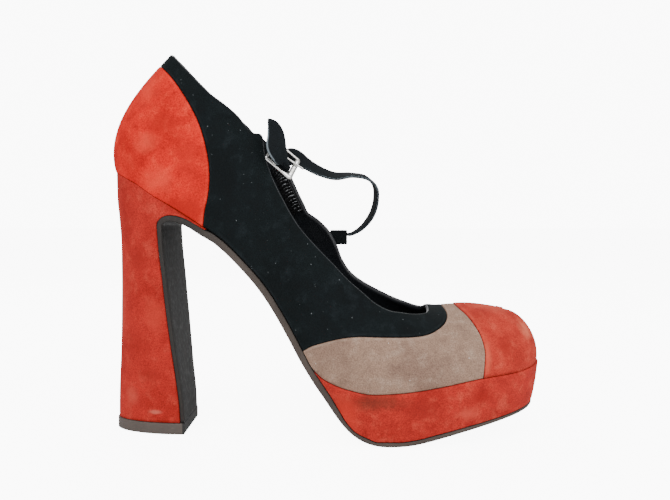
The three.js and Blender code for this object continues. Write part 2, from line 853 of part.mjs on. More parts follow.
const buckleHeight = strapWidth + 2 * buckleBar + 4 * clearance;
const frameShape = new THREE.Shape(rectangle(buckleLength, buckleHeight));
frameShape.holes.push(new THREE.Path(rectangle(buckleLength - 2 * buckleBar, buckleHeight - 2 * buckleBar)));
const buckleFrame = inBuckle(frameShape, buckleBar, 0);

// The prong hooks round the rear bar and reaches past the front bar
const prongTurn = THREE.MathUtils.degToRad(7);
const prongLength = buckleLength + prongReach;
const prongShape = new THREE.Shape(
  rectangle(prongLength, prongWidth).map((corner) =>
    corner
      .setX(corner.x + prongLength / 2)
      .rotateAround(new THREE.Vector2(0, 0), prongTurn)
      .setX(corner.x + rearBar),
  ),
);
const prongOut = buckleBar / 2 + clearance + prongWidth / 2;
const buckleProng = inBuckle(prongShape, prongWidth, prongOut).add(barRing(tabThickness, prongWidth, 0));

// Each ribbon is lofted through rows of centres with its width's direction
function ribbon(rows, thickness, perSpan) {
  const path = new THREE.CatmullRomCurve3(rows.map((row) => row.centre), false, "centripetal");
  const broad = new THREE.CatmullRomCurve3(rows.map((row) => row.across), false, "centripetal");
  const count = (rows.length - 1) * perSpan;
  return loft(
    Array.from({ length: count + 1 }, (unused, i) => {
      const centre = path.getPoint(i / count);
      const along = path.getTangent(i / count);
      const wide = broad.getPoint(i / count);
      const half = wide.length() / 2;
      wide.addScaledVector(along, -wide.dot(along)).setLength(half);
      const thick = along.clone().cross(wide).setLength(thickness / 2);
      return [[1, 1], [-1, 1], [-1, -1], [1, -1]].map(([w, t]) =>
        centre.clone().addScaledVector(wide, w).addScaledVector(thick, t),
      );
    }),
  );
}

const material = (color, roughness, metalness = 0) =>
  new THREE.MeshStandardMaterial({ color, roughness, metalness });

// The strap, from its loop to the buckle: toward runs from 0 at the loop to 1 at the buckle, the
// other columns are shares of the bow, and twist turns its width from across the shoe to up
const strapTable = table(
  ["toward", "ahead", "inward", "up", "twist"],
  [
    [0.0, 0.18, 0.0, 0.0, 0],
    [0.05, 0.29, 0.04, -0.035, 0],
    [0.12, 0.51, -0.02, 0.02, 0],
    [0.24, 0.775, -0.06, 0.07, 0],
    [0.38, 0.965, -0.065, 0.115, 0.02],
    [0.52, 1.04, -0.07, 0.165, 0.05],
    [0.64, 0.975, -0.07, 0.145, 0.1],
    [0.76, 0.8, -0.035, 0.025, 0.2],
    [0.86, 0.575, 0.005, -0.13, 0.35],
    [0.93, 0.335, 0.0, -0.133, 0.5],
    [0.98, 0.143, 0.0, -0.07, 0.65],
    [1.0, 0.0, 0.0, 0.0, 0.8],
  ],
);
// Its end behind the buckle, in shares of the strap's width
const behindTable = table(
  ["forward", "up", "out"],
  [
    [0.42, 0.64, -0.3],
    [0.12, 0.3, -0.3],
    [-0.12, 0.05, -0.26],
  ],
);
// The free end, out through the buckle and up: also in shares of the strap's width, with the
// turn of its own width in degrees, how squarely it faces out and how broad it is
const freeEndTable = table(
  ["forward", "up", "out", "turn", "facing", "broad"],
  [
    [0.24, -0.34, -0.26, 0, 0, 0.9],
    [0.24, -0.33, 0.18, 0, 0, 0.88],
    [0.1, -0.53, 0.55, 0, 0.35, 0.95],
    [-0.2, -0.57, 0.53, 0, 0.9, 1.0],
    [-0.65, -0.07, 0.71, -5, 1, 1.08],
    [-1.0, 0.37, 0.64, -14, 1, 1.05],
    [-1.3, 0.76, 0.58, -20, 1, 0.95],
    [-1.62, 1.04, 0.45, -24, 1, 0.7],
    [-1.82, 1.18, 0.37, -24, 1, 0.15],
  ],
);
const loopMouth = new THREE.Vector3(loopX, loopY, loopZ);
const buckleMouth = atBuckle(strapWidth * 0.7, strapWidth * 0.95, strapWidth * -0.35);
const acrossShoe = new THREE.Vector3(0, 1, 0);
const alongShoe = new THREE.Vector3(1, 0, 0);
const acrossBuckle = buckleUp.clone().sub(buckleForward).normalize();
const mainRows = strapTable.map((row) => ({
  centre: loopMouth
    .clone()
    .lerp(buckleMouth, row.toward)
    .add(new THREE.Vector3(row.ahead, row.inward, row.up).multiplyScalar(strapBow)),
  across: acrossShoe.clone().lerp(acrossBuckle, row.twist).setLength(strapWidth),
}));
const loopRoot = {
  centre: loopMouth.clone().setX(loopX - loopLength / 2),
  across: acrossShoe.clone().setLength(strapWidth),
};
const fromBuckle = (row) => atBuckle(row.forward * strapWidth, row.up * strapWidth, row.out * strapWidth);
const behindRows = behindTable.map((row) => ({
  centre: fromBuckle(row),
  across: acrossBuckle.clone().setLength(strapWidth),
}));
const freeRows = freeEndTable.map((row) => ({
  centre: fromBuckle(row),
  across: buckleForward
    .clone()
    .lerp(alongShoe, row.facing)
    .applyAxisAngle(acrossShoe, THREE.MathUtils.degToRad(row.turn))
    .setLength(row.broad * strapWidth),
}));
const instepStrap = ribbon([loopRoot, ...mainRows, ...behindRows], strapThickness, 2).add(
  ribbon(freeRows, strapThickness, 2),
);

// The tab that holds the buckle: a sheet inside the quarter, joined to an ear that goes round
// the rear bar above the prong
const earUp = prongWidth / 2 + clearance + earWidth / 2;
const tabInside = form(-upperWall - clearance - tabThickness, upperWall);
const outlineAt = (points) => points.map((point) => [point.x, point.z]);
const tabCorners = rectangle(tabReach + barHole, 2 * earUp + earWidth).map(({ x, y }) =>
  atBuckle(rearBar + x + (barHole - tabReach) / 2, y, 0),
);
const tabSheet = form(-upperWall - clearance, 0).intersect(prism(outlineAt(tabCorners), -across, 0));
const webCorners = rectangle(2 * barHole, earWidth).map(({ x, y }) => atBuckle(rearBar + x, earUp + y, 0));
const web = prism(outlineAt(webCorners), atBuckle(rearBar, earUp, 0).y, 0);
const besideQuarter = form(clearance, 0)
  .subtract(form(-upperWall - clearance, upperWall))
  .subtract(prism(shifted(aboveTopline(lateralCorner), clearance, 0), -across, splitY));
const buckleTab = tabSheet
  .add(web)
  .subtract(tabInside)
  .add(barRod(barHole + tabThickness, earWidth, earUp))
  .subtract(besideQuarter)
  .subtract(barRod(barHole, buckleHeight, 0));

const shoe = new THREE.Group();

function addPiece(name, solid, finish) {
  const made = solid.getMesh();
  const geometry = new THREE.BufferGeometry();
  geometry.setAttribute("position", new THREE.BufferAttribute(made.vertProperties, 3));
  geometry.setIndex(new THREE.BufferAttribute(made.triVerts, 1));
  const mesh = new THREE.Mesh(geometry, finish);
  mesh.name = name;
  shoe.add(mesh);
}

addPiece("upper", upper, material(0x181d1e, 0.95));
for (const [name, outline] of Object.entries(panels)) {
  const panel = panelSheet.subtract(toplineCut).intersect(prism(outline(seamGap), -across, across));
  const colour = { vamp_panel: 0x948278, toe_cap: 0xc84b37, heel_counter: 0xd63a2c }[name];
  addPiece(name, panel, material(colour, 0.95));
}
addPiece("insole", insole, material(0x15181a, 0.4));
addPiece("platform", platform, material(0xbe3c32, 0.95));
addPiece("outsole", outsole, material(0x595652, 0.6));
addPiece("heel", heel, material(0xbe3e30, 0.95));
addPiece("top_piece", topPiece, material(0x5f554e, 0.6));
addPiece("elastic_strip", elasticStrip, material(0x1a1c20, 0.5));
addPiece("strap_loop", strapLoop, material(0x181d1e, 0.95));
addPiece("instep_strap", instepStrap, material(0x181d1e, 0.85));
addPiece("buckle_frame", buckleFrame, material(0xd0d2d6, 0.2, 1));
addPiece("buckle_prong", buckleProng, material(0xd0d2d6, 0.2, 1));
addPiece("buckle_tab", buckleTab, material(0x181d1e, 0.6));

export default shoe;
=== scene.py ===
import math

import bpy
import numpy as np
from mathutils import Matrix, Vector


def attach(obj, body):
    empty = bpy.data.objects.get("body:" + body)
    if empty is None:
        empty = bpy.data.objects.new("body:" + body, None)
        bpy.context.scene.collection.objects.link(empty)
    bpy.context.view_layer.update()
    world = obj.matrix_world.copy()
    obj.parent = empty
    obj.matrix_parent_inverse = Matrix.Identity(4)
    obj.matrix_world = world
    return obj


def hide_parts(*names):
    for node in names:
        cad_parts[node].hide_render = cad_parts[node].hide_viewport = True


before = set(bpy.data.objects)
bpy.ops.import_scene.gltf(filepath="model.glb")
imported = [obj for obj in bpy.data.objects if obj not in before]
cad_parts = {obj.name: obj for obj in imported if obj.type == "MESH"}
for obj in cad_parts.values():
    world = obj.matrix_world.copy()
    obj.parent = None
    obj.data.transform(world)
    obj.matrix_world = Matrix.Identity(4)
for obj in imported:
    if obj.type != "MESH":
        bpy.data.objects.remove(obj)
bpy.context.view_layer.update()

bpy.ops.object.select_all(action="DESELECT")


# The camera stands 400 mm to the shoe's outer side, level with the instep, and looks straight
# across it and down by two degrees, as the photograph was taken.
camera_data = bpy.data.cameras.new("camera")
camera_data.lens = 41.4
camera_data.sensor_width = 36.0
camera_data.clip_start = 0.01
camera = bpy.data.objects.new("camera", camera_data)
camera.location = (0.095, -0.400, 0.1055)
camera.rotation_euler = (math.radians(88.0), 0.0, 0.0)
bpy.context.scene.collection.objects.link(camera)
bpy.context.scene.camera = camera


# The studio: a plain white floor that runs out to a white surround, a broad soft light above
# and in front, and two weaker ones at the toe's end and behind.
bpy.ops.mesh.primitive_plane_add(size=30.0, location=(0.1, 0.0, -0.0004))
floor = bpy.context.object
floor.name = floor.data.name = "floor"
floor_paint = bpy.data.materials.new("white_floor")
floor_paint.use_nodes = True
floor_shader = floor_paint.node_tree.nodes["Principled BSDF"]
floor_shader.inputs["Base Color"].default_value = (0.93, 0.93, 0.93, 1.0)
floor_shader.inputs["Roughness"].default_value = 0.9
floor_shader.inputs["Specular IOR Level"].default_value = 0.0
nodes, links = floor_paint.node_tree.nodes, floor_paint.node_tree.links
seen = nodes.new("ShaderNodeLightPath").outputs["Is Camera Ray"]
glare = nodes.new("ShaderNodeMath")
glare.operation = "MULTIPLY"
glare.inputs[1].default_value = 9.0
links.new(seen, glare.inputs[0])
links.new(glare.outputs[0], floor_shader.inputs["Emission Strength"])
floor_shader.inputs["Emission Color"].default_value = (1.0, 1.0, 1.0, 1.0)
floor.data.materials.append(floor_paint)

surround = bpy.data.worlds.new("white_surround")
surround.use_nodes = True
nodes, links = surround.node_tree.nodes, surround.node_tree.links
nodes["Background"].inputs["Color"].default_value = (1.0, 1.0, 1.0, 1.0)
seen = nodes.new("ShaderNodeLightPath").outputs["Is Camera Ray"]
strength = nodes.new("ShaderNodeMapRange")
strength.inputs["To Min"].default_value = 0.55
strength.inputs["To Max"].default_value = 10.0
links.new(seen, strength.inputs["Value"])
links.new(strength.outputs["Result"], nodes["Background"].inputs["Strength"])
bpy.context.scene.world = surround


def soft_light(name, place, aim, size, power):
    lamp = bpy.data.lights.new(name, "AREA")
    lamp.shape = "SQUARE"
    lamp.size = size
    lamp.energy = power
    stand = bpy.data.objects.new(name, lamp)
    stand.location = place
    stand.rotation_euler = (Vector(aim) - Vector(place)).to_track_quat("-Z", "Y").to_euler()
    bpy.context.scene.collection.objects.link(stand)


soft_light("key_light", (-0.25, -0.75, 0.95), (0.08, 0.0, 0.08), 0.6, 9.0)
soft_light("toe_light", (0.85, -0.45, 0.50), (0.10, 0.0, 0.06), 0.5, 4.0)
soft_light("rear_light", (-0.1, 0.8, 0.7), (0.08, 0.0, 0.10), 0.6, 4.0)


# The quarters: black suede over the stiffened back half of the upper, from the heel counter to
# a broad band round the throat. They are cut from one hide, folded over the topline and laid
# on the vamp. All the upper's pieces are shaped on the same last, in millimetres.
shoe_length = 218.5
back_x = -18.0
seat_back_x = back_x + 0.8
tip_x = back_x + shoe_length - 0.2
ball_half_width = 42.0
seat_height = 132.5
ball_height = 25.0
toe_spring = 10.0
quarter_height = 76.0
upper_wall = 2.2
suede_thickness = 0.9

feather_rows = np.array([
    # along, rise, spring
    (0.0, 1.0, 0), (0.07, 0.93, 0), (0.11, 0.876, 0), (0.155, 0.823, 0), (0.2, 0.766, 0),
    (0.24, 0.712, 0), (0.27, 0.666, 0), (0.314, 0.578, 0), (0.363, 0.464, 0), (0.4, 0.348, 0),
    (0.431, 0.236, 0), (0.45, 0.165, 0), (0.466, 0.106, 0), (0.491, 0.059, 0), (0.514, 0.037, 0),
    (0.543, 0.018, 0), (0.6, 0.0, 0), (0.656, 0.0, 0.06), (0.708, 0.0, 0.2), (0.761, 0.0, 0.38),
    (0.805, 0.0, 0.54), (0.845, 0.0, 0.66), (0.924, 0.0, 0.78), (1.0, 0.0, 1.0),
])
plan_rows = np.array([
    # along, lateral, medial, ridge, full, swell
    (0.0037, 0.0, 0.0, 0.275, 1.4, 0.18), (0.009, 0.18, 0.18, 0.275, 1.42, 0.17),
    (0.027, 0.335, 0.335, 0.276, 1.5, 0.14), (0.06, 0.475, 0.47, 0.28, 1.75, 0.1),
    (0.105, 0.58, 0.57, 0.29, 2.2, 0.06), (0.151, 0.62, 0.607, 0.3, 2.6, 0.05),
    (0.224, 0.64, 0.62, 0.32, 3.0, 0.04), (0.311, 0.655, 0.62, 0.357, 2.9, 0.03),
    (0.403, 0.715, 0.655, 0.42, 2.5, 0.03), (0.467, 0.81, 0.715, 0.476, 2.35, 0.03),
    (0.54, 0.93, 0.8, 0.545, 2.1, 0.03), (0.609, 0.995, 0.88, 0.609, 1.95, 0.03),
    (0.677, 1.0, 0.905, 0.677, 1.95, 0.03), (0.746, 0.965, 0.88, 0.745, 2.0, 0.03),
    (0.815, 0.88, 0.82, 0.8, 2.1, 0.04), (0.883, 0.74, 0.715, 0.85, 2.1, 0.04),
    (0.929, 0.595, 0.607, 0.878, 2.1, 0.04), (0.966, 0.395, 0.465, 0.897, 2.08, 0.04),
    (0.989, 0.165, 0.275, 0.91, 2.05, 0.04), (0.9991, -0.095, 0.095, 0.915, 2.05, 0.04),
])
ridge_rows = np.array([
    # along, above, shift
    (0.275, 1.546, 0.0), (0.311, 1.52, 0.02), (0.357, 1.33, 0.06), (0.403, 1.234, 0.1),
    (0.449, 1.207, 0.13), (0.494, 1.155, 0.14), (0.54, 1.022, 0.14), (0.586, 0.879, 0.14),
    (0.632, 0.727, 0.14), (0.677, 0.6, 0.14), (0.728, 0.475, 0.13), (0.76, 0.446, 0.12),
    (0.803, 0.437, 0.11), (0.885, 0.397, 0.1), (0.915, 0.368, 0.095),
])


def fair_curve(xs, ys):
    """A smooth curve through points that never overshoots them."""
    slopes = np.diff(ys) / np.diff(xs)
    before = np.concatenate((slopes[:1], slopes))
    after = np.concatenate((slopes, slopes[-1:]))
    same_way = before * after > 0
    tangents = np.where(same_way, 2 * before * after / np.where(same_way, before + after, 1), 0)

    def height(x):
        at = np.clip(x, xs[0], xs[-1])
        i = np.clip(np.searchsorted(xs, at) - 1, 0, len(xs) - 2)
        span = xs[i + 1] - xs[i]
        t = (at - xs[i]) / span
        rise = ys[i + 1] - ys[i]
        leave = span * tangents[i] - rise
        arrive = rise - span * tangents[i + 1]
        return ys[i] + t * rise + t * (1 - t) * (leave * (1 - t) + arrive * t)

    return height


feather_rise = fair_curve(feather_rows[:, 0], feather_rows[:, 1])
feather_spring = fair_curve(feather_rows[:, 0], feather_rows[:, 2])
ridge_above = fair_curve(ridge_rows[:, 0], ridge_rows[:, 1])
ridge_shift = fair_curve(ridge_rows[:, 0], ridge_rows[:, 2])


def along_of(x):
    return (x - back_x) / shoe_length


def x_at(along):
    return back_x + np.asarray(along) * shoe_length


def feather_z(x):
    """The height of the upper's lower edge."""
    rise = feather_rise(along_of(x)) * (seat_height - ball_height)
    return ball_height + rise + feather_spring(along_of(x)) * toe_spring


def turn_of(x):
    return np.arccos(np.clip(1 - 2 * (x - seat_back_x) / (tip_x - seat_back_x), -1, 1)) / math.pi


def x_of_turn(turn):
    return seat_back_x + (tip_x - seat_back_x) * (1 - np.cos(math.pi * turn)) / 2


plan_turns = turn_of(x_at(plan_rows[:, 0]))
plan_lateral, plan_medial, plan_ridge, plan_full, plan_swell = (
    fair_curve(plan_turns, plan_rows[:, column]) for column in range(1, 6)
)


def last_points(side, turn, climb):
    """The last's surface: side -1 is outer and 1 inner, turn runs from the back to the toe tip
    and climb from the lower edge to the ridge."""
    foot_x = x_of_turn(turn)
    foot_y = np.where(side < 0, -plan_lateral(turn), plan_medial(turn)) * ball_half_width
    ridge_x = x_at(plan_ridge(turn))
    ridge_y = ridge_shift(plan_ridge(turn)) * ball_half_width
    foot_z = feather_z(foot_x)
    ridge_z = feather_z(ridge_x) + ridge_above(plan_ridge(turn)) * quarter_height
    angle = np.clip(climb, 0, 1) * math.pi / 2
    up = np.sin(angle) ** (2 / plan_full(turn))
    out = np.cos(angle) ** (2 / plan_full(turn)) + plan_swell(turn) * np.sin(math.pi * up) * (1 - up)
    return np.stack((
        ridge_x + (foot_x - ridge_x) * out,
        ridge_y + (foot_y - ridge_y) * out,
        foot_z + (ridge_z - foot_z) * up,
    ), axis=-1)


def skin_points(side, turn, climb, offset):
    """The same surface moved along its own normal, outwards for a positive offset."""
    side, turn, climb, offset = np.broadcast_arrays(side, turn, climb, offset)
    low = np.maximum(np.minimum(climb, 1) - 0.004, 0.002)
    high = np.minimum(np.maximum(climb, 0) + 0.004, 0.998)
    middle = (low + high) / 2
    forward = last_points(side, np.minimum(turn + 0.004, 1), middle)
    forward = forward - last_points(side, np.maximum(turn - 0.004, 0), middle)
    upward = last_points(side, turn, high) - last_points(side, turn, low)
    normal = np.cross(forward, upward) * -side[..., None]
    normal /= np.linalg.norm(normal, axis=-1, keepdims=True)
    on_middle = (climb >= 1) | (turn <= 0) | (turn >= 1)
    normal[..., 1] = np.where(on_middle, 0, normal[..., 1])
    normal /= np.linalg.norm(normal, axis=-1, keepdims=True)
    return last_points(side, turn, climb) + normal * offset[..., None]


def on_last(line):
    """Side-view points in turn and climb."""
    x, z = line[:, 0], line[:, 1]

    def climb_at(turn):
        foot_z = feather_z(x_of_turn(turn))
        ridge_z = feather_z(x_at(plan_ridge(turn))) + ridge_above(plan_ridge(turn)) * quarter_height
        up = np.clip((z - foot_z) / (ridge_z - foot_z), 0, 1)
        return np.arcsin(up ** (plan_full(turn) / 2)) * 2 / math.pi

    low, high = np.zeros(len(x)), np.ones(len(x))
    for _ in range(40):
        turn = (low + high) / 2
        short = last_points(-1, turn, climb_at(turn))[:, 0] < x
        low, high = np.where(short, turn, low), np.where(short, high, turn)
    turn = np.where(turn < 0.0001, 0, turn)
    return np.stack((turn, climb_at(turn)), axis=-1)


def on_upper(rows):
    """Side-view points from shares along the shoe and of the quarters' height."""
    rows = np.array(rows)
    x = x_at(rows[:, 0])
    return np.stack((x, feather_z(x) + rows[:, 1] * quarter_height), axis=-1)


def smooth_line(points, per_span=12):
    """A smooth line through points, for any number of axes."""
    points = np.asarray(points, float)
    padded = np.vstack((2 * points[0] - points[1], points, 2 * points[-1] - points[-2]))
    made = []
    for i in range(1, len(padded) - 2):
        a, b, c, d = padded[i - 1:i + 3]
        knots = np.cumsum([0] + [max(np.linalg.norm(q - p), 1e-6) ** 0.5 for p, q in ((a, b), (b, c), (c, d))])
        t = (knots[1] + (knots[2] - knots[1]) * np.arange(per_span) / per_span)[:, None]
        ab = a + (b - a) * (t - knots[0]) / (knots[1] - knots[0])
        bc = b + (c - b) * (t - knots[1]) / (knots[2] - knots[1])
        cd = c + (d - c) * (t - knots[2]) / (knots[3] - knots[2])
        abc = ab + (bc - ab) * (t - knots[0]) / (knots[2] - knots[0])
        bcd = bc + (cd - bc) * (t - knots[1]) / (knots[3] - knots[1])
        made.append(abc + (bcd - abc) * (t - knots[1]) / (knots[2] - knots[1]))
    return np.vstack(made + [padded[-2:-1]])


def to_ridge(line):
    """Ends a side-view line where it meets the ridge, so that no part of it runs along the ridge."""
    ridge_z = feather_z(line[:, 0]) + ridge_above(along_of(line[:, 0])) * quarter_height
    clear = ridge_z - line[:, 1]
    past = np.flatnonzero((clear <= 0) & (np.arange(len(line)) > len(line) // 2))
    if not len(past):
        return line
    last = past[0]
    share = clear[last - 1] / (clear[last - 1] - clear[last])
    return np.vstack((line[:last], line[last - 1] + (line[last] - line[last - 1]) * share))


def walk(line, keys, shares, count, ease=0.0):
    """Points along a line: keys are places on it, met at the given shares of the walk. The
    steps grow over the share that ease gives, for a line that starts across the shoe's back."""
    steps = np.concatenate(([0], np.cumsum(np.linalg.norm(np.diff(line, axis=0), axis=1))))
    at_key = [steps[np.argmin(np.linalg.norm(line - np.array(key), axis=1))] for key in keys]
    at_key[0], at_key[-1] = 0, steps[-1]
    share = np.linspace(0, 1, count)
    share = np.where(share < ease, share ** 2 / max(ease, 1e-9), share)
    place = np.interp(share, shares, at_key)
    return np.stack([np.interp(place, steps, line[:, axis]) for axis in range(line.shape[1])], axis=-1)


collar_rows = [(0.135, 0.991), (0.19, 0.925), (0.239, 0.876), (0.271, 0.878), (0.3, 0.886)]
lateral_rows = [
    (0.32, 0.874), (0.337, 0.89), (0.352, 0.935), (0.3565, 0.91), (0.361, 0.825), (0.38, 0.748),
    (0.4, 0.725), (0.419, 0.72), (0.44, 0.74), (0.485, 0.785), (0.512, 0.749), (0.544, 0.681),
    (0.575, 0.622), (0.608, 0.549), (0.64, 0.498), (0.67, 0.474), (0.698, 0.449), (0.719, 0.437),
    (0.733, 0.438), (0.742, 0.48),
]
medial_rows = [
    (0.33, 0.875), (0.357, 0.9), (0.389, 0.945), (0.402, 0.96), (0.411, 0.939), (0.425, 0.919),
    (0.439, 0.91), (0.45, 0.905), (0.46, 0.94), (0.475, 0.966), (0.491, 0.962), (0.503, 0.941),
    (0.522, 0.86), (0.533, 0.78), (0.553, 0.7), (0.583, 0.645), (0.634, 0.566), (0.667, 0.516),
    (0.696, 0.476), (0.718, 0.449), (0.733, 0.44), (0.742, 0.48),
]
band_rows = [
    (0.447, 0.0), (0.46, 0.1), (0.495, 0.237), (0.533, 0.309), (0.572, 0.345), (0.611, 0.349),
    (0.691, 0.326), (0.724, 0.322), (0.751, 0.341), (0.768, 0.37), (0.775, 0.405), (0.773, 0.445),
    (0.764, 0.52),
]
counter_rows = [
    (0.085, 0.9), (0.107, 0.874), (0.148, 0.831), (0.19, 0.737), (0.218, 0.628), (0.235, 0.481),
    (0.24, 0.345), (0.236, 0.207), (0.229, 0.108), (0.225, 0.0),
]
band_line = to_ridge(smooth_line(on_upper(band_rows)))
counter_line = smooth_line(on_upper(counter_rows))
shank_x = np.linspace(counter_line[-1][0], band_line[0][0], 40)[1:-1]
shank_line = np.stack((shank_x, feather_z(shank_x)), axis=-1)
topline = {
    -1: to_ridge(smooth_line(on_upper(collar_rows + lateral_rows))),
    1: to_ridge(smooth_line(on_upper(collar_rows + medial_rows))),
}
quarter_foot = np.vstack((counter_line, shank_line, band_line))
foot_keys = [(5.3, 185.8), (29.6, 152.5), (34.5, 127.7), (31.4, 104.3), (50.6, 86.9), (69.3, 62.4),
             (79.8, 45.2), (98.5, 51.3), (124.2, 51.2), (140.2, 51.9), (149.5, 65)]
top_keys = {
    -1: [(11.6, 191), (42, 161), (56, 150.5), (60.7, 143), (65.1, 126.2), (78.5, 102.3),
         (92, 88), (109, 71), (127, 62), (134.6, 60.8), (144.1, 64.6)],
    1: [(11.6, 191), (42, 161), (57, 148), (66, 139), (72, 129), (85, 107),
        (99, 87), (112, 73), (127, 67.5), (134.6, 66.5), (144.1, 64.6)],
}
key_shares = [0, 0.15, 0.24, 0.33, 0.43, 0.55, 0.66, 0.75, 0.87, 0.93, 1]


def places_between(low, high, share, side_view=None):
    """Places between two lines on the last, evenly also where the wall stands up from its foot.
    Columns marked by side_view run straight as seen from the side, as round the back."""
    lift = [line[:, None, 1] ** (2 / plan_full(line[:, None, 0])) for line in (low, high)]
    turn = np.clip(low[:, None, 0] + (high - low)[:, None, 0] * share, 0, 1)
    climb = np.clip(lift[0] + (lift[1] - lift[0]) * share, 0, 1) ** (plan_full(turn) / 2)
    if side_view is not None:
        kept = side_view > 0
        ends = [last_points(-1, line[kept, 0], line[kept, 1])[:, None, ::2] for line in (low, high)]
        shares = np.clip(np.broadcast_to(share, turn.shape)[kept], 0, 1)[..., None]
        straight = on_last((ends[0] + (ends[1] - ends[0]) * shares).reshape(-1, 2)).reshape(-1, turn.shape[1], 2)
        off_low, off_high = straight[:, :1] - low[kept, None], straight[:, -1:] - high[kept, None]
        straight = straight - off_low * (1 - shares) ** 4 - off_high * shares ** 4
        weight = side_view[kept, None]
        turn[kept] += (straight[..., 0] - turn[kept]) * weight
        climb[kept] += (straight[..., 1] - climb[kept]) * weight
    return turn, climb


def patch(side, low, high, offset, rings, low_edge, high_edge, low_lap=0.0, high_lap=0.0, side_view=None):
    """Points of a sheet on the last between two lines, with close rows along both edges. An
    edge is how far it dips and over what width, and a lap is how far it runs on under its
    neighbour. Returns the points and each one's distance from the nearer edge."""
    solid = skin_points(np.asarray(side)[:, None], *places_between(low, high, np.linspace(0, 1, 13)[None, :], side_view), offset)
    width = np.maximum(np.linalg.norm(np.diff(solid, axis=1), axis=-1).sum(axis=1), 1e-3)
    near = np.array([0.0, 0.12, 0.28, 0.5, 0.8, 1.2, 1.8, 2.5])
    squeeze = np.minimum(1, 0.4 * width / near[-1])[:, None]
    first = near[None, :] * squeeze / width[:, None]
    between = np.linspace(0, 1, rings)[None, 1:-1]
    inner = first[:, -1:] + (1 - 2 * first[:, -1:]) * between
    share = np.hstack((first, inner, 1 - first[:, ::-1]))
    from_low = share * width[:, None]
    from_high = (1 - share) * width[:, None]
    dip = low_edge[0] * np.maximum(0, 1 - from_low / low_edge[1]) ** 2
    dip = dip + high_edge[0] * np.maximum(0, 1 - from_high / high_edge[1]) ** 2
    dip = dip * np.minimum(1, width / 4)[:, None]
    if low_lap:
        share = np.hstack((-np.minimum(low_lap / width, 0.2)[:, None], share))
        dip = np.hstack((dip[:, :1], dip))
        from_low = np.hstack((from_low[:, :1], from_low))
        from_high = np.hstack((from_high[:, :1], from_high))
    if high_lap:
        share = np.hstack((share, 1 + np.minimum(high_lap / width, 0.2)[:, None]))
        dip = np.hstack((dip, dip[:, -1:]))
        from_low = np.hstack((from_low, from_low[:, -1:]))
        from_high = np.hstack((from_high, from_high[:, -1:]))
    turn, climb = places_between(low, high, share, side_view)
    sides = np.broadcast_to(np.asarray(side)[:, None], turn.shape)
    points = skin_points(sides, turn, climb, offset - dip)
    return points, from_low, from_high


def grid_piece(name, points, marks=None, weld=0.004, facing=None):
    """A grid shaped in code to columns of points in millimetres, facing out, or the given way,
    and welded where its own edges meet. Marks are named values kept on its points."""
    sides = np.cross(points[1:, :-1] - points[:-1, :-1], points[:-1, 1:] - points[:-1, :-1])
    outward = (sides * (points[:-1, :-1] - points.reshape(-1, 3).mean(axis=0))).sum()
    if facing is not None:
        outward = (sides * np.array(facing)).sum()
    order = slice(None, None, 1 if outward < 0 else -1)
    columns, rows = points.shape[:2]
    bpy.ops.object.select_all(action="DESELECT")
    bpy.ops.mesh.primitive_grid_add(x_subdivisions=rows - 1, y_subdivisions=columns - 1, size=1.0)
    piece = bpy.context.object
    piece.name = piece.data.name = name
    piece.data.vertices.foreach_set("co", (points[order] / 1000).astype(np.float32).ravel())
    for mark, values in (marks or {}).items():
        layer = piece.data.attributes.new(mark, "FLOAT", "POINT")
        layer.data.foreach_set("value", values[order].astype(np.float32).ravel())
    bpy.ops.object.mode_set(mode="EDIT")
    bpy.ops.mesh.select_all(action="SELECT")
    bpy.ops.mesh.remove_doubles(threshold=weld / 1000)
    bpy.ops.mesh.select_all(action="DESELECT")
    bpy.ops.object.mode_set(mode="OBJECT")
    bpy.ops.object.shade_smooth()
    return piece


def apply_modifier(piece, kind, **settings):
    bpy.ops.object.select_all(action="DESELECT")
    piece.select_set(True)
    bpy.context.view_layer.objects.active = piece
    modifier = piece.modifiers.new(kind.lower(), kind)
    for name, value in settings.items():
        setattr(modifier, name, value)
    bpy.ops.object.modifier_apply(modifier=modifier.name)


def both_sides(count, low, high):
    """Columns from the back along the outer side to the middle and back along the inner side."""
    side = np.concatenate((np.full(count, -1), np.full(count - 1, 1)))
    low = np.vstack((low[-1], low[1][-2::-1]))
    high = np.vstack((high[-1], high[1][-2::-1]))
    return side, low, high


def node_group(name, inputs, outputs):
    """A shader node group with named sockets."""
    group = bpy.data.node_groups.new(name, "ShaderNodeTree")
    for label, kind, value in inputs:
        socket = group.interface.new_socket(label, in_out="INPUT", socket_type="NodeSocket" + kind)
        if value is not None:
            socket.default_value = value
    for label, kind in outputs:
        group.interface.new_socket(label, in_out="OUTPUT", socket_type="NodeSocket" + kind)
    return group, group.nodes.new("NodeGroupInput"), group.nodes.new("NodeGroupOutput")


def noise(nodes, links, place, scale, detail=4.0, roughness=0.55, swirl=0.0):
    made = nodes.new("ShaderNodeTexNoise")
    links.new(place, made.inputs["Vector"])
    made.inputs["Scale"].default_value = scale
    made.inputs["Detail"].default_value = detail
    made.inputs["Roughness"].default_value = roughness
    made.inputs["Distortion"].default_value = swirl
    return made.outputs["Fac"]


def remap(nodes, links, value, low, high, to_low=0.0, to_high=1.0):
    made = nodes.new("ShaderNodeMapRange")
    made.interpolation_type = "SMOOTHSTEP"
    links.new(value, made.inputs["Value"])
    made.inputs["From Min"].default_value = low
    made.inputs["From Max"].default_value = high
    made.inputs["To Min"].default_value = to_low
    made.inputs["To Max"].default_value = to_high
    return made.outputs["Result"]


def blend(nodes, links, share, first, second, kind="MIX"):
    """Mixes two colours; each is a colour or another node's output."""
    made = nodes.new("ShaderNodeMix")
    made.data_type = "RGBA"
    made.blend_type = kind
    for socket, value in ((made.inputs[0], share), (made.inputs[6], first), (made.inputs[7], second)):
        if isinstance(value, bpy.types.NodeSocket):
            links.new(value, socket)
        else:
            socket.default_value = value
    return made.outputs[2]


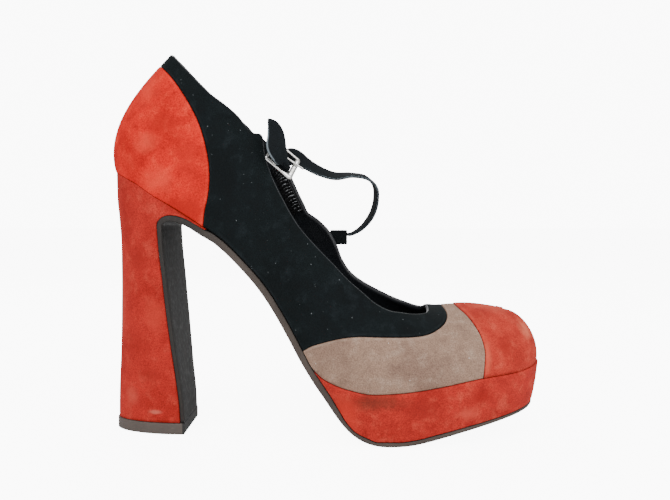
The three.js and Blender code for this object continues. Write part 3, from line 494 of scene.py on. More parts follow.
def arithmetic(nodes, links, operation, first, second):
    made = nodes.new("ShaderNodeMath")
    made.operation = operation
    for socket, value in zip(made.inputs, (first, second)):
        if isinstance(value, bpy.types.NodeSocket):
            links.new(value, socket)
        else:
            socket.default_value = value
    return made.outputs[0]


# The suede nap: blotches where the pile lies another way, small mottles, and the fine pile
# itself, which also gives the height for the bump.
suede_nap, nap_in, nap_out = node_group("suede_nap", [
    ("Colour", "Color", (0.5, 0.5, 0.5, 1.0)),
    ("Light pile", "Color", (0.6, 0.6, 0.6, 1.0)),
    ("Dark pile", "Color", (0.4, 0.4, 0.4, 1.0)),
    ("Blotches", "Float", 0.5),
    ("Mottles", "Float", 0.5),
], [("Colour", "Color"), ("Roughness", "Float"), ("Height", "Float")])
nodes, links = suede_nap.nodes, suede_nap.links
place = nodes.new("ShaderNodeTexCoord").outputs["Object"]
blotches = noise(nodes, links, place, 48.0, 3.0, 0.5, 0.4)
mottles = noise(nodes, links, place, 150.0, 5.0, 0.6, 0.15)
pile = noise(nodes, links, place, 1700.0, 3.0, 0.7)
light_share = arithmetic(nodes, links, "MULTIPLY", remap(nodes, links, mottles, 0.48, 0.74), nap_in.outputs["Mottles"])
dark_share = arithmetic(nodes, links, "MULTIPLY", remap(nodes, links, mottles, 0.5, 0.28), nap_in.outputs["Mottles"])
patch_share = arithmetic(nodes, links, "MULTIPLY", remap(nodes, links, blotches, 0.42, 0.66), nap_in.outputs["Blotches"])
worn = blend(nodes, links, patch_share, nap_in.outputs["Colour"], nap_in.outputs["Dark pile"])
worn = blend(nodes, links, dark_share, worn, nap_in.outputs["Dark pile"])
worn = blend(nodes, links, light_share, worn, nap_in.outputs["Light pile"])
grain = remap(nodes, links, pile, 0.3, 0.7, 0.7, 1.26)
grain_colour = nodes.new("ShaderNodeCombineColor")
for channel in range(3):
    links.new(grain, grain_colour.inputs[channel])
links.new(blend(nodes, links, 1.0, worn, grain_colour.outputs["Color"], "MULTIPLY"), nap_out.inputs["Colour"])
links.new(remap(nodes, links, mottles, 0.3, 0.7, 0.86, 1.0), nap_out.inputs["Roughness"])
links.new(arithmetic(nodes, links, "ADD", arithmetic(nodes, links, "MULTIPLY", pile, 0.6), mottles), nap_out.inputs["Height"])

# Along a seam the hide is pressed: a dark fine line right at the edge and a paler ridge beside it, a painted highlight
# on the ridge (on the taupe also its paler pile)
seam_press, press_in, press_out = node_group("seam_press", [
    ("Colour", "Color", (0.5, 0.5, 0.5, 1.0)),
    ("Line", "Color", (0.1, 0.1, 0.1, 1.0)),
    ("Ridge highlight", "Color", (0.7, 0.7, 0.7, 1.0)),
    ("Ridge highlight strength", "Float", 0.3),
], [("Colour", "Color")])
nodes, links = seam_press.nodes, seam_press.links
edge_mark = nodes.new("ShaderNodeAttribute")
edge_mark.attribute_name = "edge_mm"
fuzz = noise(nodes, links, nodes.new("ShaderNodeTexCoord").outputs["Object"], 1200.0, 2.0)
fuzzy_edge = arithmetic(nodes, links, "ADD", edge_mark.outputs["Fac"], arithmetic(nodes, links, "MULTIPLY", fuzz, 0.7))
line_share = remap(nodes, links, fuzzy_edge, 0.8, 0.42)
rise = remap(nodes, links, edge_mark.outputs["Fac"], 0.4, 0.8)
fall = remap(nodes, links, edge_mark.outputs["Fac"], 2.2, 0.9)
broken = remap(nodes, links, noise(nodes, links, nodes.new("ShaderNodeTexCoord").outputs["Object"], 180.0), 0.3, 0.7)
# The pale band beside the line is a painted highlight on the pressed ridge
ridge_highlight_share = arithmetic(nodes, links, "MULTIPLY", arithmetic(nodes, links, "MULTIPLY", rise, fall), broken)
ridge_highlight_share = arithmetic(nodes, links, "MULTIPLY", ridge_highlight_share, press_in.outputs["Ridge highlight strength"])
ridge_highlit = blend(nodes, links, ridge_highlight_share, press_in.outputs["Colour"], press_in.outputs["Ridge highlight"])
links.new(blend(nodes, links, line_share, ridge_highlit, press_in.outputs["Line"]), press_out.inputs["Colour"])

# Pale lint caught in the pile
lint, lint_in, lint_out = node_group("lint", [
    ("Colour", "Color", (0.1, 0.1, 0.1, 1.0)),
    ("Speck", "Color", (0.2, 0.2, 0.2, 1.0)),
    ("Rarity", "Float", 0.86),
], [("Colour", "Color")])
nodes, links = lint.nodes, lint.links
specks = nodes.new("ShaderNodeTexVoronoi")
specks.inputs["Scale"].default_value = 520.0
place = nodes.new("ShaderNodeTexCoord").outputs["Object"]
frayed = nodes.new("ShaderNodeVectorMath")
frayed.operation = "MULTIPLY_ADD"
stray = nodes.new("ShaderNodeTexNoise")
stray.inputs["Scale"].default_value = 900.0
links.new(place, stray.inputs["Vector"])
links.new(stray.outputs["Color"], frayed.inputs[0])
frayed.inputs[1].default_value = (0.0016, 0.0016, 0.0016)
links.new(place, frayed.inputs[2])
links.new(frayed.outputs["Vector"], specks.inputs["Vector"])
chosen = nodes.new("ShaderNodeSeparateColor")
links.new(specks.outputs["Color"], chosen.inputs["Color"])
speck_share = arithmetic(
    nodes, links, "MULTIPLY",
    remap(nodes, links, specks.outputs["Distance"], 0.19, 0.05),
    arithmetic(nodes, links, "GREATER_THAN", chosen.outputs["Red"], lint_in.outputs["Rarity"]),
)
speck_share = arithmetic(nodes, links, "MULTIPLY", speck_share, chosen.outputs["Green"])
links.new(blend(nodes, links, speck_share, lint_in.outputs["Colour"], lint_in.outputs["Speck"]), lint_out.inputs["Colour"])


def scuff_and_highlight_place(nodes, links, tone, place, middle, reach, colour, strength):
    """Blends a colour into a soft-edged place, given in millimetres: rubbed and soiled places, and painted highlights.
    """
    local = nodes.new("ShaderNodeMapping")
    links.new(place, local.inputs["Vector"])
    local.inputs["Location"].default_value = [-at / size for at, size in zip(middle, reach)]
    local.inputs["Scale"].default_value = [1000 / size for size in reach]
    far = nodes.new("ShaderNodeVectorMath")
    far.operation = "LENGTH"
    links.new(local.outputs["Vector"], far.inputs[0])
    ragged = noise(nodes, links, place, 210.0, 3.0)
    edge = arithmetic(nodes, links, "ADD", far.outputs["Value"], ragged)
    share = remap(nodes, links, edge, 1.5, 0.6, 0.0, strength)
    return blend(nodes, links, share, tone, (*colour, 1.0))


def suede(name, colour, light, dark, blotches=0.5, mottles=0.5, line=None, ridge=0.3, specks=None, sheen=0.25,
          bump=0.35, wear_and_highlights=()):
    """A suede material from the nap, the worn places and painted highlights, the lint (its colour and how rare it is)
    and the pressed seams, with a painted highlight on the ridge beside each."""
    made = bpy.data.materials.new(name)
    made.use_nodes = True
    nodes, links = made.node_tree.nodes, made.node_tree.links
    shader = nodes["Principled BSDF"]
    nap = nodes.new("ShaderNodeGroup")
    nap.node_tree = suede_nap
    nap.inputs["Colour"].default_value = (*colour, 1.0)
    nap.inputs["Light pile"].default_value = (*light, 1.0)
    nap.inputs["Dark pile"].default_value = (*dark, 1.0)
    nap.inputs["Blotches"].default_value = blotches
    nap.inputs["Mottles"].default_value = mottles
    tone = nap.outputs["Colour"]
    if wear_and_highlights:
        place = nodes.new("ShaderNodeTexCoord").outputs["Object"]
        for middle, reach, place_colour, strength in wear_and_highlights:
            tone = scuff_and_highlight_place(nodes, links, tone, place, middle, reach, place_colour, strength)
    if specks:
        fluff = nodes.new("ShaderNodeGroup")
        fluff.node_tree = lint
        fluff.inputs["Speck"].default_value = (*specks[0], 1.0)
        fluff.inputs["Rarity"].default_value = specks[1]
        links.new(tone, fluff.inputs["Colour"])
        tone = fluff.outputs["Colour"]
    if line:
        press = nodes.new("ShaderNodeGroup")
        press.node_tree = seam_press
        links.new(tone, press.inputs["Colour"])
        press.inputs["Line"].default_value = (*line, 1.0)
        # The ridge beside the seam is painted in the light pile colour: a painted highlight
        press.inputs["Ridge highlight"].default_value = (*light, 1.0)
        press.inputs["Ridge highlight strength"].default_value = ridge
        tone = press.outputs["Colour"]
    links.new(tone, shader.inputs["Base Color"])
    links.new(nap.outputs["Roughness"], shader.inputs["Roughness"])
    shader.inputs["Specular IOR Level"].default_value = 0.15
    shader.inputs["Sheen Weight"].default_value = sheen
    shader.inputs["Sheen Roughness"].default_value = 0.5
    shader.inputs["Sheen Tint"].default_value = (*light, 1.0)
    relief = nodes.new("ShaderNodeBump")
    relief.inputs["Strength"].default_value = bump
    relief.inputs["Distance"].default_value = 0.0004
    links.new(nap.outputs["Height"], relief.inputs["Height"])
    links.new(relief.outputs["Normal"], shader.inputs["Normal"])
    return made


black_suede = suede("black_suede", (0.0052, 0.0082, 0.0092), (0.018, 0.024, 0.027), (0.0025, 0.0035, 0.004),
                    blotches=0.4, mottles=0.45, line=(0.001, 0.001, 0.001), ridge=0.5, specks=((0.20, 0.22, 0.23), 0.86), sheen=0.02)
quarter_columns = 230
skipped = 3
low = {side: on_last(walk(quarter_foot, foot_keys, key_shares, quarter_columns, 0.15))[skipped:] for side in (-1, 1)}
high = {side: on_last(walk(topline[side], top_keys[side], key_shares, quarter_columns, 0.15))[skipped:] for side in (-1, 1)}
for side in (-1, 1):
    low[side][0, 0] = 0.0
    low[side][-1, 1] = high[side][-1, 1] = 1.0
side, low, high = both_sides(quarter_columns - skipped, low, high)
side_view = np.clip((45 - np.arange(skipped, quarter_columns)) / 15, 0, 1)
side_view = np.concatenate((side_view, side_view[-2::-1]))
seam_dip = 0.75 * np.clip(low[:, 0] / 0.08, 0, 1)[:, None]
points, from_low, from_high = patch(side, low, high, 0.1, 46, (seam_dip, 0.8), (1.0, 1.1), side_view=side_view)
quarters = grid_piece("quarters", points, {"edge_mm": from_low, "topline_mm": from_high})
apply_modifier(quarters, "SOLIDIFY", thickness=suede_thickness / 1000, offset=-1.0)
quarters.data.materials.append(black_suede)
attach(quarters, "root")
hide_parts("upper")


# The vamp: taupe suede round the ball of the foot, sewn under the black band behind it and
# under the toe cap in front, and lasted under at its lower edge.
cap_rows = [
    (0.79, 0.52), (0.802, 0.432), (0.816, 0.385), (0.83, 0.321), (0.841, 0.248), (0.846, 0.164),
    (0.844, 0.081), (0.841, 0.0),
]
cap_line = to_ridge(smooth_line(on_upper(cap_rows))[::-1])[::-1]
vamp_foot_x = np.linspace(band_line[0][0], cap_line[-1][0], 60)
vamp_foot = np.vstack((np.stack((vamp_foot_x, feather_z(vamp_foot_x)), axis=-1)[:-1], cap_line[::-1]))
vamp_columns = 190
vamp_keys = [(79.8, 45.2), (120, 25), (cap_line[-1][0], cap_line[-1][1]), (cap_line[0][0], cap_line[0][1])]
vamp_shares = [0, 0.42, 0.80, 1]
band_keys = [(79.8, 45.2), (118, 51.5), (146.2, 54.2), (149.5, 65)]
low = on_last(walk(vamp_foot, vamp_keys, vamp_shares, vamp_columns))
high = on_last(walk(band_line, band_keys, vamp_shares, vamp_columns))
low[-1, 1] = high[-1, 1] = 1.0
low[0] = high[0]
taupe_suede = suede("taupe_suede", (0.335, 0.215, 0.155), (0.470, 0.340, 0.260), (0.220, 0.135, 0.100),
                    blotches=0.6, mottles=0.55, line=(0.040, 0.024, 0.018), ridge=0.6, specks=((0.95, 0.92, 0.88), 0.93))
side, low, high = both_sides(vamp_columns, {-1: low, 1: low}, {-1: high, 1: high})
points, from_low, from_high = patch(side, low, high, -0.15, 34, (0.1, 0.6), (0.5, 0.6), high_lap=1.2)
vamp = grid_piece("vamp", points, {"edge_mm": from_high + 0.25})
apply_modifier(vamp, "SOLIDIFY", thickness=suede_thickness / 1000, offset=-1.0)
vamp.data.materials.append(taupe_suede)
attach(vamp, "root")
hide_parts("vamp_panel")


# The toe cap: red suede pulled over the toe's stiffener, its curved rear edge turned under and
# sewn down over the vamp.
cap_climbs = 60
cap_seam = on_last(walk(cap_line, [cap_line[0], cap_line[-1]], [0, 1], 240))
cap_seam[0, 1] = 1.0
climb = np.sin(np.linspace(0, 1, cap_climbs) * math.pi / 2)
seam_turn = np.interp(climb, cap_seam[::-1, 1], cap_seam[::-1, 0])
low = np.stack((seam_turn, climb), axis=-1)
high = np.stack((np.ones(cap_climbs), climb), axis=-1)
cap_wear = [
    # middle, reach, colour, strength
    ((192, -10, 52), (7, 14, 7), (0.85, 0.20, 0.11), 0.7), ((168, -33, 43), (3, 12, 14), (0.75, 0.13, 0.07), 0.6),
    ((178, -28, 45), (7, 10, 9), (0.34, 0.018, 0.012), 0.6), ((164, -18, 59), (9, 12, 5), (0.38, 0.026, 0.016), 0.5),
    ((176, 0, 62), (16, 14, 6), (0.66, 0.11, 0.065), 0.5),
]
red_suede = suede("red_suede", (0.520, 0.042, 0.026), (0.720, 0.105, 0.062), (0.330, 0.018, 0.012),
                  blotches=0.6, mottles=0.6, line=(0.08, 0.006, 0.004), ridge=0.5, wear_and_highlights=cap_wear)
side, low, high = both_sides(cap_climbs, {-1: low, 1: low}, {-1: high, 1: high})
points, from_low, from_high = patch(side, low, high, 0.05, 44, (0.7, 0.7), (0.0, 1.0))
toe_cap = grid_piece("toe_cap_suede", points, {"edge_mm": from_low})
apply_modifier(toe_cap, "SOLIDIFY", thickness=suede_thickness / 1000, offset=-1.0)
toe_cap.data.materials.append(red_suede)
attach(toe_cap, "root")
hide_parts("toe_cap")


# The heel counter: a leaf of red suede over the stiff cup at the back, pointed at the top and
# sewn down along both front edges.
counter_levels = 70
counter_seam = on_last(walk(counter_line, [counter_line[0], counter_line[-1]], [0, 1], 300))
top_climb = counter_seam[0, 1]
climb = top_climb * np.linspace(0, 1, counter_levels) ** 1.5
edge_turn = np.interp(climb, counter_seam[::-1, 1], counter_seam[::-1, 0])
edge_turn[-1] = 0.0
across = np.concatenate((np.array([1, 0.994, 0.985, 0.97, 0.95, 0.92]), np.linspace(0.88, 0, 30)))
turn = np.concatenate((across, across[-2::-1]))[:, None] * edge_turn[None, :]
side = np.concatenate((np.full(len(across), -1), np.full(len(across) - 1, 1)))
sides = np.broadcast_to(side[:, None], turn.shape)
flat = skin_points(sides, turn, np.broadcast_to(climb, turn.shape), 0.15)
rim = np.vstack((flat[0], flat[-1][::-1]))
rim = walk(rim, [rim[0], rim[-1]], [0, 1], 600)
gap = np.sqrt(((flat[:, :, None, :] - rim[None, None, :, :]) ** 2).sum(axis=-1)).min(axis=2)
points = skin_points(sides, turn, np.broadcast_to(climb, turn.shape), 0.15 - 0.7 * np.maximum(0, 1 - gap / 0.8) ** 2)
# The pale places high on the counter's back are painted highlights; the others darken it
counter_highlights_and_darks = [
    # middle, reach, colour, strength
    ((3, -25, 145), (10, 20, 7), (0.93, 0.078, 0.040), 0.6), ((9, -25, 126), (13, 20, 9), (0.92, 0.072, 0.037), 0.55),
    ((2, -20, 172), (9, 25, 14), (0.94, 0.060, 0.032), 0.5), ((11, -25, 154), (14, 20, 7), (0.50, 0.016, 0.010), 0.6),
    ((-5, -15, 135), (7, 20, 8), (0.50, 0.018, 0.011), 0.6), ((23, -28, 137), (9, 20, 18), (0.56, 0.020, 0.012), 0.5),
    ((22, -28, 112), (16, 20, 10), (0.46, 0.015, 0.009), 0.75),
]
counter_suede = suede("counter_suede", (0.740, 0.020, 0.012), (0.930, 0.058, 0.030), (0.440, 0.009, 0.006),
                      blotches=0.6, mottles=0.7, line=(0.20, 0.009, 0.006), ridge=0.4, wear_and_highlights=counter_highlights_and_darks)
counter = grid_piece("counter", points, {"edge_mm": gap})
apply_modifier(counter, "SOLIDIFY", thickness=suede_thickness / 1000, offset=-1.0)
counter.data.materials.append(counter_suede)
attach(counter, "root")
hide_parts("heel_counter")


# The lining: one smooth black skin inside the whole upper, turned out over the topline, where
# its painted edge catches the light.
lining_columns, toe_columns = 200, 60
columns = {}
for side in (-1, 1):
    edge = on_last(walk(topline[side], [topline[side][0], topline[side][-1]], [0, 1], lining_columns, 0.1))
    edge[0, 0], edge[-1, 1] = 0.0, 1.0
    edge[:, 0] = np.maximum.accumulate(edge[:, 0])
    rest = np.linspace(edge[-1, 0], 1, toe_columns)[1:]
    columns[side] = np.vstack((edge, np.stack((rest, np.ones(len(rest))), axis=-1)))
foot = {side: np.stack((columns[side][:, 0], np.full(len(columns[side]), 0.0)), axis=-1) for side in (-1, 1)}
side, low, high = both_sides(lining_columns + toe_columns - 1, foot, columns)
open_edge = np.concatenate((np.arange(lining_columns + toe_columns - 1), np.arange(lining_columns + toe_columns - 2)[::-1]))
open_edge = (open_edge < lining_columns)[:, None]
points, from_low, from_high = patch(side, low, high, -upper_wall, 40, (0.0, 1.0), (0.0, 1.0))
turned = 1.25 * np.maximum(0, 1 - from_high / 1.2) ** 2 * open_edge
turns, climbs = places_between(low, high, from_low / (from_low + from_high))
points = skin_points(np.broadcast_to(side[:, None], turns.shape), turns, climbs, -upper_wall + turned)
smooth_lining = bpy.data.materials.new("smooth_lining")
smooth_lining.use_nodes = True
nodes, links = smooth_lining.node_tree.nodes, smooth_lining.node_tree.links
shader = nodes["Principled BSDF"]
place = nodes.new("ShaderNodeTexCoord").outputs["Object"]
grain = noise(nodes, links, place, 900.0, 3.0)
creases = noise(nodes, links, place, 60.0, 4.0)
links.new(blend(nodes, links, creases, (0.006, 0.007, 0.009, 1.0), (0.016, 0.018, 0.022, 1.0)), shader.inputs["Base Color"])
links.new(remap(nodes, links, creases, 0.3, 0.7, 0.34, 0.5), shader.inputs["Roughness"])
relief = nodes.new("ShaderNodeBump")
relief.inputs["Strength"].default_value = 0.25
relief.inputs["Distance"].default_value = 0.0003
links.new(arithmetic(nodes, links, "ADD", grain, arithmetic(nodes, links, "MULTIPLY", creases, 3.0)), relief.inputs["Height"])
links.new(relief.outputs["Normal"], shader.inputs["Normal"])
lining = grid_piece("lining", points)
apply_modifier(lining, "SOLIDIFY", thickness=0.0007, offset=-1.0)
lining.data.materials.append(smooth_lining)
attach(lining, "root")
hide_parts("upper")


# The topline's edge: the folded hide and lining meet in a narrow painted bead all round the
# throat and the collar.
bead_columns, bead_sides = 300, 10
bead_path = []
for side in (-1, 1):
    edge = on_last(walk(topline[side], [topline[side][0], topline[side][-1]], [0, 1], bead_columns, 0.1))
    edge[0, 0], edge[-1, 1] = 0.0, 1.0
    run = [skin_points(np.full(bead_columns, side), edge[:, 0], edge[:, 1], offset) for offset in (-1.15, 0.0)]
    bead_path.append(run if side < 0 else [part[-2::-1] for part in run])
centre, outer = (np.vstack((bead_path[0][i], bead_path[1][i])) for i in (0, 1))
ahead = np.roll(centre, -1, axis=0) - np.roll(centre, 1, axis=0)
ahead /= np.linalg.norm(ahead, axis=1, keepdims=True)
wide = outer - centre
wide -= ahead * (wide * ahead).sum(axis=1, keepdims=True)
wide /= np.linalg.norm(wide, axis=1, keepdims=True)
tall = np.cross(wide, ahead)
angle = np.linspace(0, 2 * math.pi, bead_sides + 1)
points = (centre[:, None] + wide[:, None] * 0.85 * np.cos(angle)[None, :, None]
          + tall[:, None] * 0.4 * np.sin(angle)[None, :, None])
points = np.concatenate((points, points[:1]))
edge_paint = bpy.data.materials.new("edge_paint")
edge_paint.use_nodes = True
nodes, links = edge_paint.node_tree.nodes, edge_paint.node_tree.links
shader = nodes["Principled BSDF"]
place = nodes.new("ShaderNodeTexCoord").outputs["Object"]
# The lighter patches along the bead are painted highlights
bead_highlights = noise(nodes, links, place, 160.0, 4.0)
links.new(blend(nodes, links, bead_highlights, (0.004, 0.005, 0.006, 1.0), (0.030, 0.036, 0.042, 1.0)), shader.inputs["Base Color"])
links.new(remap(nodes, links, bead_highlights, 0.3, 0.7, 0.25, 0.45), shader.inputs["Roughness"])
bead = grid_piece("topline_edge", points)
bead.data.materials.append(edge_paint)
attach(bead, "root")


# The insole: a thin black sock over the insole board, laid on the seat and down the steep
# shank to the toes, and slightly dished under the foot.
insole_thickness = 2.0
wall_gap = 0.3
turn = np.linspace(0, 1, 130)
edges = [skin_points(np.full(len(turn), side), turn, 0.0, -upper_wall - wall_gap) for side in (-1, 1)]
over = np.array([0, 0.004, 0.012, 0.03, 0.07, *np.linspace(0.14, 0.86, 9), 0.93, 0.97, 0.988, 0.996, 1])
points = edges[0][:, None] + (edges[1] - edges[0])[:, None] * over[None, :, None]
edge_drop = 0.5 * np.maximum(0, 1 - np.minimum(over, 1 - over) / 0.03) ** 2
points[..., 2] = feather_z(points[..., 0]) + insole_thickness - edge_drop - 0.5 * np.sin(math.pi * over) ** 2
insole = grid_piece("insole_sock", points, facing=(0, 0, 1))
apply_modifier(insole, "SOLIDIFY", thickness=0.0013, offset=-1.0)
insole.data.materials.append(smooth_lining)
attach(insole, "root")
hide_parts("insole")


# The platform: a light slab between the upper and the sole, thin under the shank and thick
# under the ball, covered in the same red suede, glued on and trimmed along both edges.
clearance = 0.3
shank_thickness = 3.4
tread_thickness = 2.2
toe_inset = 2.6
platform_proud = 0.7
platform_back_x = float(x_at(0.466))
sole_rows = np.array([
    # along, low, thick, inset
    (0.2, 4.0, 1.55, 0.25), (0.4, 2.0, 1.55, 0.35), (0.466, 1.2, 1.5, 0.3), (0.499, 0.8, 1.4, 0.2),
    (0.522, 0.505, 1.3, 0.15), (0.537, 0.33, 1.2, 0.12), (0.556, 0.18, 1.1, 0.12),
    (0.58, 0.085, 1.0, 0.12), (0.609, 0.0, 1.0, 0.12), (0.655, 0.0, 1.0, 0.12),
    (0.69, 0.036, 1.0, 0.13), (0.74, 0.13, 0.98, 0.25), (0.8, 0.237, 0.88, 0.6),
    (0.86, 0.335, 0.75, 0.9), (0.93, 0.448, 0.65, 1.0), (1.0, 0.55, 0.6, 1.0),
])
sole_low, sole_thick, sole_inset = (fair_curve(sole_rows[:, 0], sole_rows[:, column]) for column in (1, 2, 3))


def stretch(height, x):
    """A sloping face's length for each millimetre along x."""
    return np.hypot(1, height(x + 0.5) - height(x - 0.5))


def seat_z(x):
    return feather_z(x) - clearance * stretch(feather_z, x)


def tread_z(x):
    return sole_low(along_of(x)) * ball_height


def sole_top_z(x):
    ahead = tread_z(x) + sole_thick(along_of(x)) * tread_thickness * stretch(tread_z, x)
    return np.where(x < platform_back_x, seat_z(x), ahead)


def sole_low_z(x):
    """The sole's lower side, with the turn from the shank to the tread rounded."""
    around = np.asarray(x)[..., None] + np.linspace(-6, 6, 25)
    shank = seat_z(around) - shank_thickness * stretch(feather_z, around)
    return np.where(around < platform_back_x, shank, tread_z(around)).mean(axis=-1)


def platform_low_z(x):
    return sole_top_z(x) + clearance * stretch(sole_top_z, x)


start = turn_of(platform_back_x + 1.6)
turn = start + (1 - start) * np.linspace(0, 1, 150)
low_offset = clearance - sole_inset(along_of(x_of_turn(turn))) * toe_inset
wall = np.linspace(0, 1, 15)[1:-1]
rims = []
for side in (-1, 1):
    sides = np.full(len(turn), side)

    def wall_row(offset, down, lift):
        """A row of the wall: down runs from its upper to its lower edge, and lift rounds it."""
        row = skin_points(sides, turn, 0.0, offset)
        top, low = seat_z(row[:, 0]), platform_low_z(row[:, 0])
        row[:, 2] = top + (low - top) * down + np.minimum(abs(lift), 0.3 * (top - low)) * np.sign(lift)
        return row

    rows = [wall_row(-4.0, 0, 0), wall_row(platform_proud - 0.7, 0, 0), wall_row(platform_proud - 0.2, 0, -0.12)]
    rows += [wall_row(platform_proud, 0, -0.5)]
    for down in wall:
        bulge = 0.35 * math.sin(math.pi * down)
        rows.append(wall_row(platform_proud + (low_offset - platform_proud) * down + bulge, down, 0))
    rows += [wall_row(low_offset, 1, 0.5), wall_row(low_offset - 0.2, 1, 0.12), wall_row(low_offset - 0.7, 1, 0)]
    rows += [wall_row(low_offset - 4.0, 1, 0)]
    rims.append(np.stack(rows, axis=1))
middle = (rims[0][:, [0, -1]] + rims[1][:, [0, -1]]) / 2
halves = [np.concatenate((middle[:, :1], rim, middle[:, 1:]), axis=1) for rim in rims]
points = np.concatenate((halves[0], halves[1][-2::-1]))
end = np.repeat(((halves[0][:1] + halves[1][:1]) / 2), 1, axis=0)
points = np.concatenate((end, points, end))
platform_wear = [
    # middle, reach, colour, strength
    ((114, -44, 21.5), (21, 16, 6), (0.120, 0.032, 0.019), 0.65),
    ((136, -44, 18), (13, 14, 8), (0.33, 0.022, 0.016), 0.6), ((165, -36, 23), (8, 12, 6), (0.30, 0.012, 0.009), 0.6),
    ((158, -40, 15), (9, 14, 5), (0.72, 0.090, 0.055), 0.6), ((100, -40, 16), (9, 14, 12), (0.66, 0.040, 0.022), 0.6),
]
platform_suede = suede("platform_suede", (0.500, 0.032, 0.022), (0.680, 0.085, 0.052), (0.320, 0.016, 0.012),
                       blotches=0.55, mottles=0.6, wear_and_highlights=platform_wear)
platform = grid_piece("platform_cover", points)
platform.data.materials.append(platform_suede)
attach(platform, "root")
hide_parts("platform")


# The sole: one strip of grey-brown leather that treads the floor under the platform, runs up
# the shank, bends over the arch and is carried down the heel's breast to the top piece. Its
# edge is cut square and stained.
breast_x = 8.5
breast_flare = 9.3
breast_foot_x = breast_x + breast_flare
breast_thickness = 2.0
arch_depth = 12.5
cover_inset = 0.4
heel_foot_z = 5.8
heel_half_width = 26.0
heel_round = 36.0
heel_waist = 3.0
heel_rows = np.array([
    # up, width, full, waist
    (0.0, 0.72, 1.9, 0.2), (0.045, 0.725, 1.9, 0.2), (0.136, 0.75, 1.92, 0.27), (0.242, 0.79, 1.95, 0.5),
    (0.3, 0.845, 1.97, 0.65), (0.453, 0.935, 2.02, 0.88), (0.6, 0.98, 2.07, 1.0), (0.71, 1.0, 2.1, 1.0),
    (0.815, 1.0, 2.13, 0.73), (0.89, 1.0, 2.15, 0.43), (1.0, 1.0, 2.15, 0.33),
])
heel_width, heel_full, heel_drawn = (fair_curve(heel_rows[:, 0], heel_rows[:, column]) for column in (1, 2, 3))


def heel_half(z):
    return heel_width(z / seat_height) * heel_half_width


arch_along = np.array([0.2275, 0.19, 0.161, 0.142, 0.129])
arch_below = np.array([0.1, 0.13, 0.28, 0.48, 0.72])
breast_up = np.array([1.0, 0.95, 0.857, 0.743, 0.62, 0.486, 0.37, 0.257, 0.133, 0.0])
breast_forward = np.array([0.0, 0.01, 0.09, 0.23, 0.36, 0.52, 0.66, 0.8, 0.95, 1.0])
arch_points = np.stack((x_at(arch_along), feather_z(x_at(arch_along)) - arch_below * arch_depth), axis=-1)
breast_height = feather_z(breast_x) - arch_depth
breast_points = np.stack((breast_x + breast_forward * breast_flare, breast_up * breast_height), axis=-1)
cover_line = smooth_line(np.vstack((arch_points, breast_points)), 8)
cover_line = cover_line[cover_line[:, 1] > heel_foot_z + 0.8]
cover_line = np.vstack((cover_line, [[breast_foot_x, heel_foot_z]]))
tangent = np.gradient(cover_line, axis=0)
tangent /= np.linalg.norm(tangent, axis=1, keepdims=True)
fade = np.clip(np.arange(len(cover_line)) / 60.0, 0, 1)
fade = fade * fade * (3 - 2 * fade)
cover_thickness = shank_thickness + (breast_thickness - shank_thickness) * fade
cover_front = cover_line + np.stack((-tangent[:, 1], tangent[:, 0]), axis=-1) * cover_thickness[:, None]
cover_front[-1, 1] = heel_foot_z
turn = turn_of(np.linspace(float(x_at(0.245)), tip_x, 160)[::-1])
turn = np.concatenate((np.linspace(1, turn[3], 14)[:-1], turn[3:]))
inset = -sole_inset(along_of(x_of_turn(turn))) * toe_inset
corners = []
for side, z_of in ((-1, sole_top_z), (-1, sole_low_z), (1, sole_low_z), (1, sole_top_z)):
    row = skin_points(np.full(len(turn), side), turn, 0.0, inset)
    row[:, 2] = z_of(row[:, 0])
    corners.append(row)
for index, (side, line) in enumerate(((-1, cover_line), (-1, cover_front), (1, cover_front), (1, cover_line))):
    half = heel_half(cover_line[:, 1]) - cover_inset
    row = np.stack((line[:, 0], side * half, line[:, 1]), axis=-1)
    corners[index] = np.vstack((corners[index], row))
outer_top, outer_low, inner_low, inner_top = corners
round_off = 0.45
broad = np.maximum(np.linalg.norm(inner_low - outer_low, axis=1), 1e-3)
deep = np.maximum(np.linalg.norm(outer_low - outer_top, axis=1), 1e-3)
a_round = np.minimum(round_off / broad, 0.3)
b_round = np.minimum(round_off / deep, 0.3)
section = [
    # across, through: whole part, then how many rounded corners in
    (0, 0, 0, 1), (0, 0, 0.5, 0), (0, 0, 1, -1), (0, 0.3, 1, -0.3),
    (0, 1, 1, 0), (0.1, 0, 1, 0), (0.3, 0, 1, 0), (0.5, 0, 1, 0), (0.7, 0, 1, 0), (0.9, 0, 1, 0), (1, -1, 1, 0),
    (1, -0.3, 1, -0.3), (1, 0, 1, -1), (1, 0, 0.5, 0), (1, 0, 0, 1), (1, -0.3, 0, 0.3),
    (1, -1, 0, 0), (0.7, 0, 0, 0), (0.3, 0, 0, 0), (0, 1, 0, 0), (0, 0.3, 0, 0.3), (0, 0, 0, 1),
]
rim_mark = [1, 1, 1, 0.8, 0.3, 0, 0, 0, 0, 0, 0.3, 0.8, 1, 1, 1, 0.8, 0, 0, 0, 0, 0.8, 1]
ring_rows = []
for across_part, across_round, deep_part, deep_round in section:
    a = (across_part + across_round * a_round)[:, None]
    b = (deep_part + deep_round * b_round)[:, None]
    top = outer_top + (inner_top - outer_top) * a
    low = outer_low + (inner_low - outer_low) * a
    ring_rows.append(top + (low - top) * b)
points = np.stack(ring_rows, axis=1)
cap = np.repeat(points[-1:].mean(axis=1, keepdims=True), points.shape[1], axis=1)
points = np.concatenate((points, cap))
marks = np.broadcast_to(np.array(rim_mark, float)[None, :], points.shape[:2])
sole_leather = bpy.data.materials.new("sole_leather")
sole_leather.use_nodes = True
nodes, links = sole_leather.node_tree.nodes, sole_leather.node_tree.links
shader = nodes["Principled BSDF"]
place = nodes.new("ShaderNodeTexCoord").outputs["Object"]
fibres = noise(nodes, links, place, 420.0, 5.0, 0.65)
